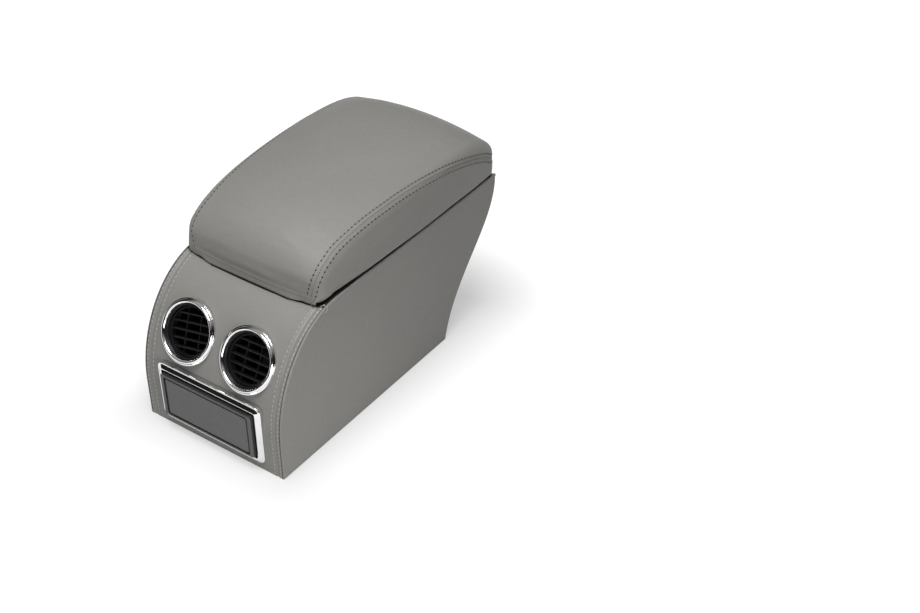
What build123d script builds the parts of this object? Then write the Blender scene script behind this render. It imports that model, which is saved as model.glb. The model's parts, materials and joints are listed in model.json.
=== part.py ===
from build123d import *
import math
import os

# Car centre armrest: a covered storage box with a hinged, padded lid.
# +X runs across, +Y from the vent end to the far end, +Z up. Millimetres.

# Box, measured over its covers
BODY_WIDTH = 200.0
RIM_HEIGHT = 184.0
FOOT_LENGTH = 303.0  # vent end to far end along the floor
RIM_LENGTH = 408.0  # vent end to far end along the rim
NOSE_START = 48.0  # height where the vent end starts to roll back
NOSE_DEPTH = 108.0  # how far back it is once it is level
FAR_LEAN = 13.2  # lean of the far end at its foot, in degrees
FAR_FOOT_PULL = 86.6  # how far the S curve holds on to that lean
FAR_TOP_PULL = 65.4  # how far it holds on to the upright at the top
FAR_UPRIGHT = 4.0  # upright strip below the far rim

# Walls
COVER_T = 2.0
SIDE_T = 9.0
NOSE_T = 5.0
FAR_T = 6.0
FLOOR_T = 8.0
BULKHEAD_T = 6.0
BULKHEAD_SETBACK = 126.0  # vent end to bulkhead

# Floor cut-outs
SLOT_SPACING = 96.0
SLOT_WIDTH = 15.0
SLOT_LENGTH = 135.0
SLOT_SETBACK = 12.0  # bulkhead to the near end of the slots
HOSE_WIDTH = 112.0
HOSE_DEPTH = 44.0
HOSE_SETBACK = 8.0  # hose cut-out to bulkhead
HOSE_CORNER = 6.0

# Air vents, heights measured outwards from the cover at the vent's centre
VENT_SPACING = 86.0
VENT_HEIGHT = 128.0  # floor to the vent's centre
VENT_RING_R = 37.5
VENT_OPEN_R = 31.0
VENT_RING_PROUD = 4.6
VENT_RING_EDGE = 1.6  # where the ring's round front starts
VENT_LIP_BACK = 0.3  # back of the ring's lip, where the housing ends
VENT_LIP = 0.9  # how far the lip reaches over the turning ring
VENT_WALL = 2.2
VENT_DEPTH = 22.5  # depth of the housing's barrel
VENT_SHOULDER = 1.7  # step behind the turning ring
NECK_R = 20.0
NECK_WALL = 2.0
NECK_LENGTH = 13.4
NECK_TAPER = 8.1  # length of the cone between barrel and neck
ROTOR_WALL = 2.6
ROTOR_LENGTH = 15.6
LOUVRE_DEPTH = 8.0  # depth of the louvre's tilt axis
LOUVRE_RIM_HALF = 4.5
LOUVRE_RIM_WALL = 2.2
SLAT_COUNT = 5
SLAT_PITCH = 9.4
SLAT_T = 1.6
SLAT_HALF_DEPTH = 4.0
RIB_SPACING = 19.0
RIB_T = 1.4
STUB_R = 1.5
STUB_LENGTH = 2.2
VENT_SPINS = {"left": 10.0, "right": 2.0}  # how the louvres are turned, in degrees

# Pull-out tray
BEZEL_WIDTH = 150.0
BEZEL_FOOT = 11.0  # floor to the bezel's lower edge
BEZEL_DROP = 41.0  # vent's centre to the bezel's upper edge
BEZEL_BAR = 8.0
BEZEL_PROUD = 5.0
BEZEL_CORNER = 9.0
BEZEL_ROUND = 2.4
OPENING_CORNER = 4.0
HOUSING_WALL = 2.0
HOUSING_LIP = 2.0  # how far the sleeve reaches into the bezel
HOUSING_DEPTH = 47.0
TRAY_WALL = 2.0
TRAY_HEADROOM = 15.7  # tray's rim to the sleeve's roof
TRAY_END_GAP = 1.0  # tray's back to the sleeve's back
TRAY_FACE_T = 7.0
TRAY_FACE_ROUND = 1.5
INLAY_SIDE_MARGIN = 5.2  # face's edge to the inlay
INLAY_TOP_MARGIN = 2.7
INLAY_T = 1.2
INLAY_SINK = 0.3  # how far the inlay lies below the face
INLAY_CORNER = 3.0
TONGUE_WIDTH = 60.0  # raised middle of the tray's back wall
STOP_SETBACK = 6.0  # vent end to the stop rib in the sleeve's roof
STOP_T = 2.0
STOP_DROP = 4.0

# Lid
LID_SETBACK = 77.0  # vent end to the lid's near edge
LID_END_SETBACK = 411.0  # vent end to the lid's far edge
LID_TOP = 262.0
LID_CREST_SETBACK = 277.0  # vent end to the highest point
LID_NEAR_WIDTH = 192.0
LID_WIDTH = 206.0
LID_FAR_WIDTH = 203.0
LID_NEAR_BOW = 6.0
LID_FAR_BOW = 3.0
LID_NEAR_CORNER = 22.0
LID_FAR_CORNER = 15.0
LID_ROLL_OVER = 4.0  # how far the crown's curve runs past the lid's ends
LID_NEAR_RISE = 3.5  # height at which the near roll starts
LID_NEAR_PULL = 165.0  # how far the near roll holds on to the level
LID_NEAR_DROP = 52.0  # how far it holds on to the upright
LID_FAR_RISE = 22.0  # height at which the far roll ends
LID_FAR_PULL = 88.0  # how far the far roll holds on to the level
LID_FAR_DROP = 46.0  # how far it holds on to the upright
CROWN_R = 420.0
LID_SHOULDER_R = 15.0
LID_HEM_R = 6.0
LID_GAP = 0.5
LINING_T = 1.0
BOARD_T = 8.0
LID_SKIRT = 10.0  # cushion round the board's edge

# Hinge
HINGE_LENGTH = 110.0
HINGE_INSET = 3.5  # lid's near edge to the hinge axis
KNUCKLE_R = 2.5
KNUCKLE_COUNT = 5
PIN_R = 1.25
LEAF_T = 1.2
LEAF_WIDTH = 18.0
HINGE_SEAT_T = 4.5  # block under the lower leaf
SCREW_SPACING = 30.0
SCREW_COUNT = 4
SCREW_SETBACK = 11.0  # hinge axis to the screws
SCREW_R = 1.5
SCREW_HEAD_R = 2.7
BOX_SCREW_BITE = 3.0
LID_SCREW_BITE = 6.0

# Clearances
SEAT_GAP = 0.2  # round a piece that sits in a hole
RUN_GAP = 0.3  # between pieces that move past each other
TRAY_GAP = 0.8  # round the tray's face
PIN_GAP = 0.05  # round the hinge pin
STUB_GAP = 0.06  # round the louvre's stubs
CUT = 30.0  # how far a cutter runs past what it cuts

# Places that follow from the sizes
FACE_PROUD = HOUSING_LIP + TRAY_FACE_T
VENT_END = (FACE_PROUD - LID_END_SETBACK) / 2
NOSE_LEVEL = VENT_END + NOSE_DEPTH
FAR_RIM = VENT_END + RIM_LENGTH
FAR_FOOT = VENT_END + FOOT_LENGTH
HALF_WIDTH = BODY_WIDTH / 2
COVERED_HALF = HALF_WIDTH - COVER_T
INNER_HALF = COVERED_HALF - SIDE_T
PANEL_TOP = RIM_HEIGHT - COVER_T
DECK_UNDER = PANEL_TOP - NOSE_T
NOSE_INNER = COVER_T + NOSE_T
FAR_INNER = COVER_T + FAR_T
BULKHEAD_Y = VENT_END + BULKHEAD_SETBACK
DECK_END = BULKHEAD_Y + BULKHEAD_T
SIDES = {"left": -1, "right": 1}


def box(x_limits, y_limits, z_limits):
    """Box between a pair of limits on each axis."""
    limits = (x_limits, y_limits, z_limits)
    size = [high - low for low, high in limits]
    middle = [(high + low) / 2 for low, high in limits]
    return Pos(*middle) * Box(*size)


def across(section, x_limits):
    """Solid of a side-view section, carried across between two X limits."""
    low, high = x_limits
    return extrude(Plane.YZ.offset(low) * section, high - low)


def both_ways(half):
    """Limits of something centred on the armrest's middle."""
    return (-half, half)


# Outlines of the box in side view


def nose_run(inset):
    """Front line and quarter ellipse of the vent end, `inset` inside the cover's surface."""
    front = VENT_END + inset
    rise = RIM_HEIGHT - inset - NOSE_START
    upright = Line((front, 0), (front, NOSE_START))
    roll = EllipticalCenterArc((NOSE_LEVEL, NOSE_START), NOSE_DEPTH - inset, rise, 180, arc_size=-90)
    return [upright, roll]


def far_run(inset, top):
    """S curve of the far end and the upright above it, moved `inset` towards the vent end."""
    foot = Vector(FAR_FOOT - inset, 0)
    head = Vector(FAR_RIM - inset, RIM_HEIGHT - FAR_UPRIGHT)
    lean = math.radians(FAR_LEAN)
    foot_pull = foot + FAR_FOOT_PULL * Vector(math.sin(lean), math.cos(lean))
    head_pull = head - Vector(0, FAR_TOP_PULL)
    return [Bezier(foot, foot_pull, head_pull, head), Line(head, (head.X, top))]


def side_section(nose_inset, far_inset):
    """Whole side view between the vent end and the far end, each drawn at its own inset."""
    top = RIM_HEIGHT - nose_inset
    rim = Line((NOSE_LEVEL, top), (FAR_RIM - far_inset, top))
    floor = Line((VENT_END + nose_inset, 0), (FAR_FOOT - far_inset, 0))
    return make_face([*nose_run(nose_inset), rim, *far_run(far_inset, top), floor])


def nose_section(outer, inner):
    """Section of a layer that wraps the vent end and the deck, between two insets."""
    edges = [*nose_run(outer), *nose_run(inner)]
    for inset in (outer, inner):
        top = RIM_HEIGHT - inset
        edges.append(Line((NOSE_LEVEL, top), (DECK_END, top)))
    edges.append(Line((VENT_END + outer, 0), (VENT_END + inner, 0)))
    edges.append(Line((DECK_END, RIM_HEIGHT - outer), (DECK_END, RIM_HEIGHT - inner)))
    return make_face(edges)


def far_section(outer, inner, top):
    """Section of a layer that wraps the far end, between two insets."""
    edges = [*far_run(outer, top), *far_run(inner, top)]
    edges.append(Line((FAR_FOOT - outer, 0), (FAR_FOOT - inner, 0)))
    edges.append(Line((FAR_RIM - outer, top), (FAR_RIM - inner, top)))
    return make_face(edges)


BODY_BLOCK = across(side_section(0, 0), both_ways(HALF_WIDTH))

# Air vents

VENT_SHARE = (VENT_HEIGHT - NOSE_START) / (RIM_HEIGHT - NOSE_START)
VENT_UPRIGHT = math.sqrt(1 - VENT_SHARE**2)
VENT_Y = NOSE_LEVEL - NOSE_DEPTH * VENT_UPRIGHT
VENT_TILT = math.atan2(VENT_SHARE / (RIM_HEIGHT - NOSE_START), VENT_UPRIGHT / NOSE_DEPTH)
HOUSING_IN_R = VENT_OPEN_R + VENT_LIP
HOUSING_OUT_R = HOUSING_IN_R + VENT_WALL
ROTOR_OUT_R = HOUSING_IN_R - RUN_GAP
ROTOR_IN_R = ROTOR_OUT_R - ROTOR_WALL
LOUVRE_R = ROTOR_IN_R - RUN_GAP
LOUVRE_MID_R = LOUVRE_R - LOUVRE_RIM_WALL / 2
ROTOR_FRONT = VENT_LIP_BACK - RUN_GAP
ROTOR_BACK = ROTOR_FRONT - ROTOR_LENGTH
NECK_START = -VENT_DEPTH - NECK_TAPER


def vent_place(side, spin=0.0):
    """Place on the cover at a vent's centre, facing out and turned about the vent's axis."""
    out = (0, -math.cos(VENT_TILT), math.sin(VENT_TILT))
    centre = (SIDES[side] * VENT_SPACING / 2, VENT_Y, VENT_HEIGHT)
    return Plane(centre, x_dir=(1, 0, 0), z_dir=out).location * Rot(0, 0, spin)


def turned(edges):
    """Solid of revolution about Z from edges drawn as radius and height."""
    return revolve(Plane.XZ * make_face(edges), Axis.Z)


def vent_ring(side):
    """Chrome ring with a round front, trimmed behind to the curve of the cover."""
    middle_r = (VENT_OPEN_R + VENT_RING_R) / 2
    skirt = -VENT_RING_R
    front = ThreePointArc(
        (VENT_OPEN_R, VENT_RING_EDGE),
        (middle_r, VENT_RING_PROUD),
        (VENT_RING_R, VENT_RING_EDGE),
    )
    back = Polyline(
        (VENT_RING_R, VENT_RING_EDGE),
        (VENT_RING_R, skirt),
        (HOUSING_OUT_R, skirt),
        (HOUSING_OUT_R, VENT_LIP_BACK),
        (VENT_OPEN_R, VENT_LIP_BACK),
        (VENT_OPEN_R, VENT_RING_EDGE),
    )
    return vent_place(side) * turned([front, back]) - BODY_BLOCK


def vent_housing(side):
    """Barrel with a shoulder behind the turning ring and a neck for the air hose."""
    shoulder_r = HOUSING_IN_R - VENT_SHOULDER
    shoulder = ROTOR_BACK - RUN_GAP
    neck_end = NECK_START - NECK_LENGTH
    bore_r = NECK_R - NECK_WALL
    wall = Polyline(
        (HOUSING_IN_R, VENT_LIP_BACK),
        (HOUSING_OUT_R, VENT_LIP_BACK),
        (HOUSING_OUT_R, -VENT_DEPTH),
        (NECK_R, NECK_START),
        (NECK_R, neck_end),
        (bore_r, neck_end),
        (bore_r, NECK_START + NECK_WALL),
        (shoulder_r, -VENT_DEPTH + NECK_WALL / 2),
        (shoulder_r, shoulder),
        (HOUSING_IN_R, shoulder),
        close=True,
    )
    return vent_place(side) * turned(wall)


def stub_pair(radius, reach):
    """Two round stubs along the louvre's tilt axis, out to `reach` from the centre."""
    length = reach - LOUVRE_MID_R
    middle = LOUVRE_MID_R + length / 2
    stub = Rot(0, 90, 0) * Cylinder(radius, length)
    return Pos(middle, 0, -LOUVRE_DEPTH) * stub + Pos(-middle, 0, -LOUVRE_DEPTH) * stub


def vent_rotor(side):
    """Ring that turns in the housing and carries the louvre's stubs."""
    length = ROTOR_FRONT - ROTOR_BACK
    ring = Cylinder(ROTOR_OUT_R, length) - Cylinder(ROTOR_IN_R, length + CUT)
    ring = Pos(0, 0, (ROTOR_FRONT + ROTOR_BACK) / 2) * ring
    holes = stub_pair(STUB_R + STUB_GAP, ROTOR_OUT_R + CUT)
    return vent_place(side, VENT_SPINS[side]) * (ring - holes)


def vent_louvre(side):
    """Round grille: a ball-shaped rim, level slats, ribs behind them and two stubs."""
    rim_r = math.sqrt(LOUVRE_R**2 - LOUVRE_RIM_HALF**2)
    bore_r = LOUVRE_R - LOUVRE_RIM_WALL
    high, low = LOUVRE_RIM_HALF, -LOUVRE_RIM_HALF
    ball = ThreePointArc((rim_r, low), (LOUVRE_R, 0), (rim_r, high))
    bore = Polyline((rim_r, high), (bore_r, high), (bore_r, low), (rim_r, low))
    grille = Part()
    for number in range(SLAT_COUNT):
        offset_y = (number - (SLAT_COUNT - 1) / 2) * SLAT_PITCH
        grille += Pos(0, offset_y, 0) * Box(2 * LOUVRE_R, SLAT_T, 2 * SLAT_HALF_DEPTH)
    for direction in (-1, 1):
        place = Pos(direction * RIB_SPACING / 2, 0, -SLAT_HALF_DEPTH / 2)
        grille += place * Box(RIB_T, 2 * LOUVRE_R, SLAT_HALF_DEPTH)
    grille &= Cylinder(LOUVRE_MID_R, 2 * SLAT_HALF_DEPTH)
    body = Pos(0, 0, -LOUVRE_DEPTH) * (turned([ball, bore]) + grille)
    return vent_place(side, VENT_SPINS[side]) * (body + stub_pair(STUB_R, ROTOR_IN_R + STUB_LENGTH))


def vent_holes():
    """Round cutters for both housings."""
    cutter = Cylinder(HOUSING_OUT_R + SEAT_GAP, 2 * VENT_RING_R)
    return vent_place("left") * cutter + vent_place("right") * cutter


# Pull-out tray

BEZEL_HEIGHT = VENT_HEIGHT - BEZEL_DROP - BEZEL_FOOT
OPENING_WIDTH = BEZEL_WIDTH - 2 * BEZEL_BAR
OPENING_HEIGHT = BEZEL_HEIGHT - 2 * BEZEL_BAR
OPENING_FLOOR = BEZEL_FOOT + BEZEL_BAR
OPENING_ROOF = OPENING_FLOOR + OPENING_HEIGHT
TRAY_MID = BEZEL_FOOT + BEZEL_HEIGHT / 2
SLEEVE_WIDTH = OPENING_WIDTH + 2 * HOUSING_WALL
SLEEVE_HEIGHT = OPENING_HEIGHT + 2 * HOUSING_WALL
SLEEVE_FRONT = VENT_END - HOUSING_LIP
SLEEVE_BACK = VENT_END + HOUSING_DEPTH
TRAY_BACK = SLEEVE_BACK - HOUSING_WALL - TRAY_END_GAP
TRAY_HEIGHT = OPENING_HEIGHT - RUN_GAP - TRAY_HEADROOM
FACE_FRONT = SLEEVE_FRONT - TRAY_FACE_T
FACE_WIDTH = OPENING_WIDTH - 2 * TRAY_GAP
FACE_HEIGHT = OPENING_HEIGHT - 2 * TRAY_GAP
INLAY_WIDTH = FACE_WIDTH - 2 * INLAY_SIDE_MARGIN
INLAY_HEIGHT = FACE_HEIGHT - 2 * INLAY_TOP_MARGIN


def tray_block(width, height, corner, y_limits):
    """Block with rounded corners, centred on the tray's opening."""
    front, back = y_limits
    plane = Plane((0, back, TRAY_MID), x_dir=(1, 0, 0), z_dir=(0, -1, 0))
    return extrude(plane * RectangleRounded(width, height, corner), back - front)


def front_edges(part, y):
    """Edges of a part that lie in the upright plane at `y`."""
    return [e for e in part.edges() if abs(e.bounding_box().max.Y - y) < RUN_GAP]


def tray_bezel():
    """Chrome frame, trimmed behind to the cover and seated over the sleeve's lip."""
    front = VENT_END - BEZEL_PROUD
    frame = tray_block(BEZEL_WIDTH, BEZEL_HEIGHT, BEZEL_CORNER, (front, VENT_END + CUT))
    hole = tray_block(OPENING_WIDTH, OPENING_HEIGHT, OPENING_CORNER, (front - CUT, VENT_END + 2 * CUT))
    frame -= hole
    frame = fillet(front_edges(frame, front), BEZEL_ROUND)
    return frame - BODY_BLOCK - sleeve_block((SLEEVE_FRONT, VENT_END + 2 * CUT), 0)


def sleeve_block(y_limits, gap):
    """Outside of the sleeve, grown by a gap all round."""
    corner = OPENING_CORNER + HOUSING_WALL + gap
    return tray_block(SLEEVE_WIDTH + 2 * gap, SLEEVE_HEIGHT + 2 * gap, corner, y_limits)


def tray_housing():
    """Sleeve closed at the back, with a stop rib under its roof."""
    sleeve = sleeve_block((SLEEVE_FRONT, SLEEVE_BACK), 0)
    inside = (SLEEVE_FRONT - CUT, SLEEVE_BACK - HOUSING_WALL)
    sleeve -= tray_block(OPENING_WIDTH, OPENING_HEIGHT, OPENING_CORNER, inside)
    rib_y = VENT_END + STOP_SETBACK
    rib_z = (OPENING_ROOF - STOP_DROP, OPENING_ROOF + HOUSING_WALL / 2)
    return sleeve + box(both_ways(TONGUE_WIDTH / 2), (rib_y, rib_y + STOP_T), rib_z)


def tray_drawer():
    """Open tray with a raised tongue at the back that meets the stop rib."""
    half = OPENING_WIDTH / 2 - RUN_GAP
    floor = OPENING_FLOOR + RUN_GAP
    length = (SLEEVE_FRONT, TRAY_BACK)
    tray = tray_block(2 * half, OPENING_HEIGHT - 2 * RUN_GAP, OPENING_CORNER - RUN_GAP, length)
    tray &= box(both_ways(half), length, (floor, floor + TRAY_HEIGHT))
    room = (SLEEVE_FRONT + TRAY_WALL, TRAY_BACK - TRAY_WALL)
    tray -= box(both_ways(half - TRAY_WALL), room, (floor + TRAY_WALL, floor + TRAY_HEIGHT + CUT))
    tongue_z = (floor + TRAY_HEIGHT - TRAY_WALL, OPENING_ROOF - RUN_GAP)
    tongue = box(both_ways(TONGUE_WIDTH / 2), (TRAY_BACK - TRAY_WALL, TRAY_BACK), tongue_z)
    return tray + tongue


def inlay_block(gap, y_limits):
    """Block of the inlay's outline, grown by a gap all round."""
    return tray_block(INLAY_WIDTH + 2 * gap, INLAY_HEIGHT + 2 * gap, INLAY_CORNER + gap, y_limits)


INLAY_SEAT = FACE_FRONT + INLAY_SINK + INLAY_T


def tray_face():
    """Front of the tray, rounded at its edge, with a shallow seat for the inlay."""
    face = tray_block(FACE_WIDTH, FACE_HEIGHT, OPENING_CORNER, (FACE_FRONT, SLEEVE_FRONT))
    face = fillet(front_edges(face, FACE_FRONT), TRAY_FACE_ROUND)
    return face - inlay_block(SEAT_GAP, (FACE_FRONT - CUT, INLAY_SEAT))


def tray_inlay():
    """Thin plate in the face's seat."""
    return inlay_block(0, (FACE_FRONT + INLAY_SINK, INLAY_SEAT))


# Lid

LID_FLOOR = RIM_HEIGHT + LID_GAP
BOARD_UNDER = LID_FLOOR + LINING_T
BOARD_TOP = BOARD_UNDER + BOARD_T
LID_NEAR = VENT_END + LID_SETBACK
LID_FAR = VENT_END + LID_END_SETBACK
LID_CREST = VENT_END + LID_CREST_SETBACK


def lid_plan(inset):
    """Outline of the lid from above, with bowed edges and round corners, `inset` inside its edge."""
    middle = (LID_NEAR + LID_FAR) / 2
    side = LID_WIDTH / 2 - inset
    near = Vector(LID_NEAR_WIDTH / 2 - inset, LID_NEAR + LID_NEAR_BOW + inset)
    far = Vector(LID_FAR_WIDTH / 2 - inset, LID_FAR - LID_FAR_BOW - inset)
    near_mirror = (-near.X, near.Y)
    far_mirror = (-far.X, far.Y)
    plan = make_face(
        [
            ThreePointArc(near_mirror, (0, LID_NEAR + inset), near),
            ThreePointArc(near, (side, middle), far),
            ThreePointArc(far, (0, LID_FAR - inset), far_mirror),
            ThreePointArc(far_mirror, (-side, middle), near_mirror),
        ]
    )
    plan = fillet(plan.vertices().group_by(Axis.Y)[0], LID_NEAR_CORNER - inset)
    return fillet(plan.vertices().group_by(Axis.Y)[-1], LID_FAR_CORNER - inset)


def lid_slab(inset, z_limits):
    """Slab of the lid's outline between two heights."""
    low, high = z_limits
    return extrude(Pos(0, 0, low) * lid_plan(inset), high - low)


def lid_crown():
    """Long curve of the lid's top, swept about an axis far below to crown it crosswise."""
    near = LID_NEAR - LID_ROLL_OVER
    far = LID_FAR + LID_ROLL_OVER
    low = LID_FLOOR - CUT
    near_start = LID_FLOOR + LID_NEAR_RISE
    far_end = LID_FLOOR + LID_FAR_RISE
    crest = (LID_CREST, LID_TOP)
    near_pull = (LID_CREST - LID_NEAR_PULL, LID_TOP)
    far_pull = (LID_CREST + LID_FAR_PULL, LID_TOP)
    section = make_face(
        [
            Bezier((near, near_start), (near, near_start + LID_NEAR_DROP), near_pull, crest),
            Bezier(crest, far_pull, (far, far_end + LID_FAR_DROP), (far, far_end)),
            Polyline((far, far_end), (far, low), (near, low), (near, near_start)),
        ]
    )
    axis = Axis((0, 0, LID_TOP - CROWN_R), (0, 1, 0))
    half_turn = math.degrees(math.asin((LID_WIDTH / 2 + CUT) / (CROWN_R - LID_TOP + low)))
    return revolve(Plane.YZ * section, axis, 2 * half_turn).rotate(axis, -half_turn)


def lid_cushion():
    """Padded top: crowned block with a round shoulder and hem, hollowed for the board."""
    pad = lid_crown() & lid_slab(0, (LID_FLOOR, LID_TOP + CUT))
    loop = [e for e in pad.edges() if is_shoulder(e)]
    pad = fillet(loop, LID_SHOULDER_R)
    hem = [e for e in pad.edges() if abs(e.bounding_box().max.Z - LID_FLOOR) < RUN_GAP]
    pad = fillet(hem, LID_HEM_R)
    pad -= lid_slab(LID_SKIRT, (LID_FLOOR - CUT, BOARD_TOP))
    return pad - leaf_room()


def is_shoulder(edge):
    """True for the edges between the lid's upright sides and its crown."""
    size = edge.bounding_box().size
    upright = size.X < RUN_GAP and size.Y < RUN_GAP
    crosswise = size.Y < RUN_GAP
    low = edge.bounding_box().max.Z < LID_FLOOR + RUN_GAP
    return not (upright or crosswise or low)


def lid_board():
    """Board that carries the cushion and the hinge."""
    return lid_slab(LID_SKIRT, (BOARD_UNDER, BOARD_TOP)) - hinge_screws("lid")


def lid_lining():
    """Thin lining under the board, cut away round the hinge."""
    return lid_slab(LID_SKIRT, (LID_FLOOR, BOARD_UNDER)) - leaf_room()


# Hinge

HINGE_Y = LID_NEAR + HINGE_INSET
HINGE_Z = BOARD_UNDER - KNUCKLE_R
HINGE_HALF = HINGE_LENGTH / 2
KNUCKLE_PITCH = HINGE_LENGTH / KNUCKLE_COUNT


def leaf_limits(owner):
    """Heights of a leaf's two faces."""
    if owner == "box":
        return (HINGE_Z - KNUCKLE_R, HINGE_Z - KNUCKLE_R + LEAF_T)
    return (HINGE_Z + KNUCKLE_R - LEAF_T, HINGE_Z + KNUCKLE_R)


def rod(radius, x_limits):
    """Round rod on the hinge axis."""
    low, high = x_limits
    return Pos((low + high) / 2, HINGE_Y, HINGE_Z) * Rot(0, 90, 0) * Cylinder(radius, high - low)


def hinge_leaf(owner):
    """Leaf with every second knuckle, notched where the other leaf's knuckles turn."""
    first = 0 if owner == "box" else 1
    leaf = box(both_ways(HINGE_HALF), (HINGE_Y, HINGE_Y + LEAF_WIDTH), leaf_limits(owner))
    notch_y = (HINGE_Y - CUT, HINGE_Y + KNUCKLE_R + RUN_GAP)
    notch_z = (HINGE_Z - CUT, HINGE_Z + CUT)
    for number in range(KNUCKLE_COUNT):
        start = number * KNUCKLE_PITCH - HINGE_HALF
        if number % 2 == first:
            leaf += rod(KNUCKLE_R, (start + RUN_GAP / 2, start + KNUCKLE_PITCH - RUN_GAP / 2))
        else:
            notch_x = (start - RUN_GAP / 2, start + KNUCKLE_PITCH + RUN_GAP / 2)
            leaf -= box(notch_x, notch_y, notch_z)
    leaf -= rod(PIN_R + PIN_GAP, both_ways(HINGE_HALF + CUT))
    return leaf - hinge_screws(owner)


def hinge_pin():
    """Pin through all the knuckles."""
    return rod(PIN_R, both_ways(HINGE_HALF))


def hinge_screws(owner):
    """Row of countersunk screws, flush with the leaf's inner face."""
    bite = BOX_SCREW_BITE if owner == "box" else LID_SCREW_BITE
    low, high = leaf_limits(owner)
    flush, way = (high, 180) if owner == "box" else (low, 0)
    section = Polyline(
        (0, 0),
        (SCREW_HEAD_R, 0),
        (SCREW_R, LEAF_T),
        (SCREW_R, LEAF_T + bite),
        (0, LEAF_T + bite),
        close=True,
    )
    screw = Rot(way, 0, 0) * turned(section)
    screws = []
    for number in range(SCREW_COUNT):
        x = (number - (SCREW_COUNT - 1) / 2) * SCREW_SPACING
        screws.append(Pos(x, HINGE_Y + SCREW_SETBACK, flush) * screw)
    return Part() + screws


def leaf_room():
    """Space for the hinge's upper leaf in the underside of the lid."""
    y_limits = (HINGE_Y - KNUCKLE_R, HINGE_Y + LEAF_WIDTH + RUN_GAP)
    return box(both_ways(HINGE_HALF + RUN_GAP), y_limits, (LID_FLOOR - CUT, BOARD_UNDER))


KNUCKLE_REACH = KNUCKLE_R + RUN_GAP
SEAT_TOP = HINGE_Z - KNUCKLE_R


def hinge_bed(floor):
    """Space over the hinge's lower leaf and its seat, open upwards from `floor`."""
    y_limits = (HINGE_Y - KNUCKLE_REACH, HINGE_Y + LEAF_WIDTH + RUN_GAP)
    return box(both_ways(HINGE_HALF + RUN_GAP), y_limits, (floor, RIM_HEIGHT + CUT))


def hinge_recess():
    """Step for the lower leaf, with a deeper groove under the knuckles."""
    y_limits = (HINGE_Y - KNUCKLE_REACH, HINGE_Y + KNUCKLE_REACH)
    groove = box(both_ways(HINGE_HALF + RUN_GAP), y_limits, (SEAT_TOP - RUN_GAP, RIM_HEIGHT + CUT))
    return hinge_bed(SEAT_TOP) + groove


# Box panels and covers


def nose_openings():
    """What is cut through the vent end: vents and tray sleeve."""
    return vent_holes() + sleeve_block((VENT_END - CUT, VENT_END + 2 * CUT), SEAT_GAP)


def nose_panel():
    """Bent panel of the vent end and the deck behind it, with a level seat for the hinge."""
    panel = across(nose_section(COVER_T, NOSE_INNER), both_ways(INNER_HALF))
    panel += hinge_bed(SEAT_TOP - HINGE_SEAT_T)
    return panel - hinge_recess() - nose_openings() - hinge_screws("box")


def nose_cover():
    """Leatherette strip over the vent end and the deck."""
    strip = across(nose_section(0, COVER_T), both_ways(COVERED_HALF))
    return strip - nose_openings() - hinge_bed(SEAT_TOP - HINGE_SEAT_T)


def far_panel():
    """S-shaped panel of the far end."""
    return across(far_section(COVER_T, FAR_INNER, PANEL_TOP), both_ways(INNER_HALF))


def far_cover():
    """Leatherette strip over the far end, turned in over the rim."""
    strip = across(far_section(0, COVER_T, RIM_HEIGHT), both_ways(COVERED_HALF))
    turn_in = (FAR_RIM - FAR_INNER, FAR_RIM - COVER_T)
    return strip + box(both_ways(INNER_HALF), turn_in, (PANEL_TOP, RIM_HEIGHT))


def outwards(side, inner, outer):
    """X limits on one side of the armrest, from the lower to the higher."""
    return tuple(sorted((SIDES[side] * inner, SIDES[side] * outer)))


def side_panel(side):
    """Flat board of one side."""
    return across(side_section(COVER_T, COVER_T), outwards(side, INNER_HALF, COVERED_HALF))


def side_cover(side):
    """Leatherette over one side, turned in over the rim."""
    sheet = across(side_section(0, 0), outwards(side, COVERED_HALF, HALF_WIDTH))
    turn_in = outwards(side, INNER_HALF, COVERED_HALF)
    return sheet + box(turn_in, (DECK_END, FAR_RIM - COVER_T), (PANEL_TOP, RIM_HEIGHT))


def floor_panel():
    """Floor with two long slots for the base's clamps and a cut-out for the air hoses."""
    panel = across(side_section(NOSE_INNER, FAR_INNER), both_ways(INNER_HALF))
    panel &= box(both_ways(INNER_HALF), (VENT_END, FAR_RIM), (0, FLOOR_T))
    slot_y = DECK_END + SLOT_SETBACK + SLOT_LENGTH / 2
    for direction in (-1, 1):
        slot = SlotOverall(SLOT_LENGTH, SLOT_WIDTH, rotation=90)
        panel -= extrude(Pos(direction * SLOT_SPACING / 2, slot_y, -CUT) * slot, 2 * CUT)
    hose_y = BULKHEAD_Y - HOSE_SETBACK - HOSE_DEPTH / 2
    hose = RectangleRounded(HOSE_WIDTH, HOSE_DEPTH, HOSE_CORNER)
    return panel - extrude(Pos(0, hose_y, -CUT) * hose, 2 * CUT)


def bulkhead():
    """Wall between the storage box and the space behind the vents."""
    return box(both_ways(INNER_HALF), (BULKHEAD_Y, DECK_END), (FLOOR_T, DECK_UNDER))


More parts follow.
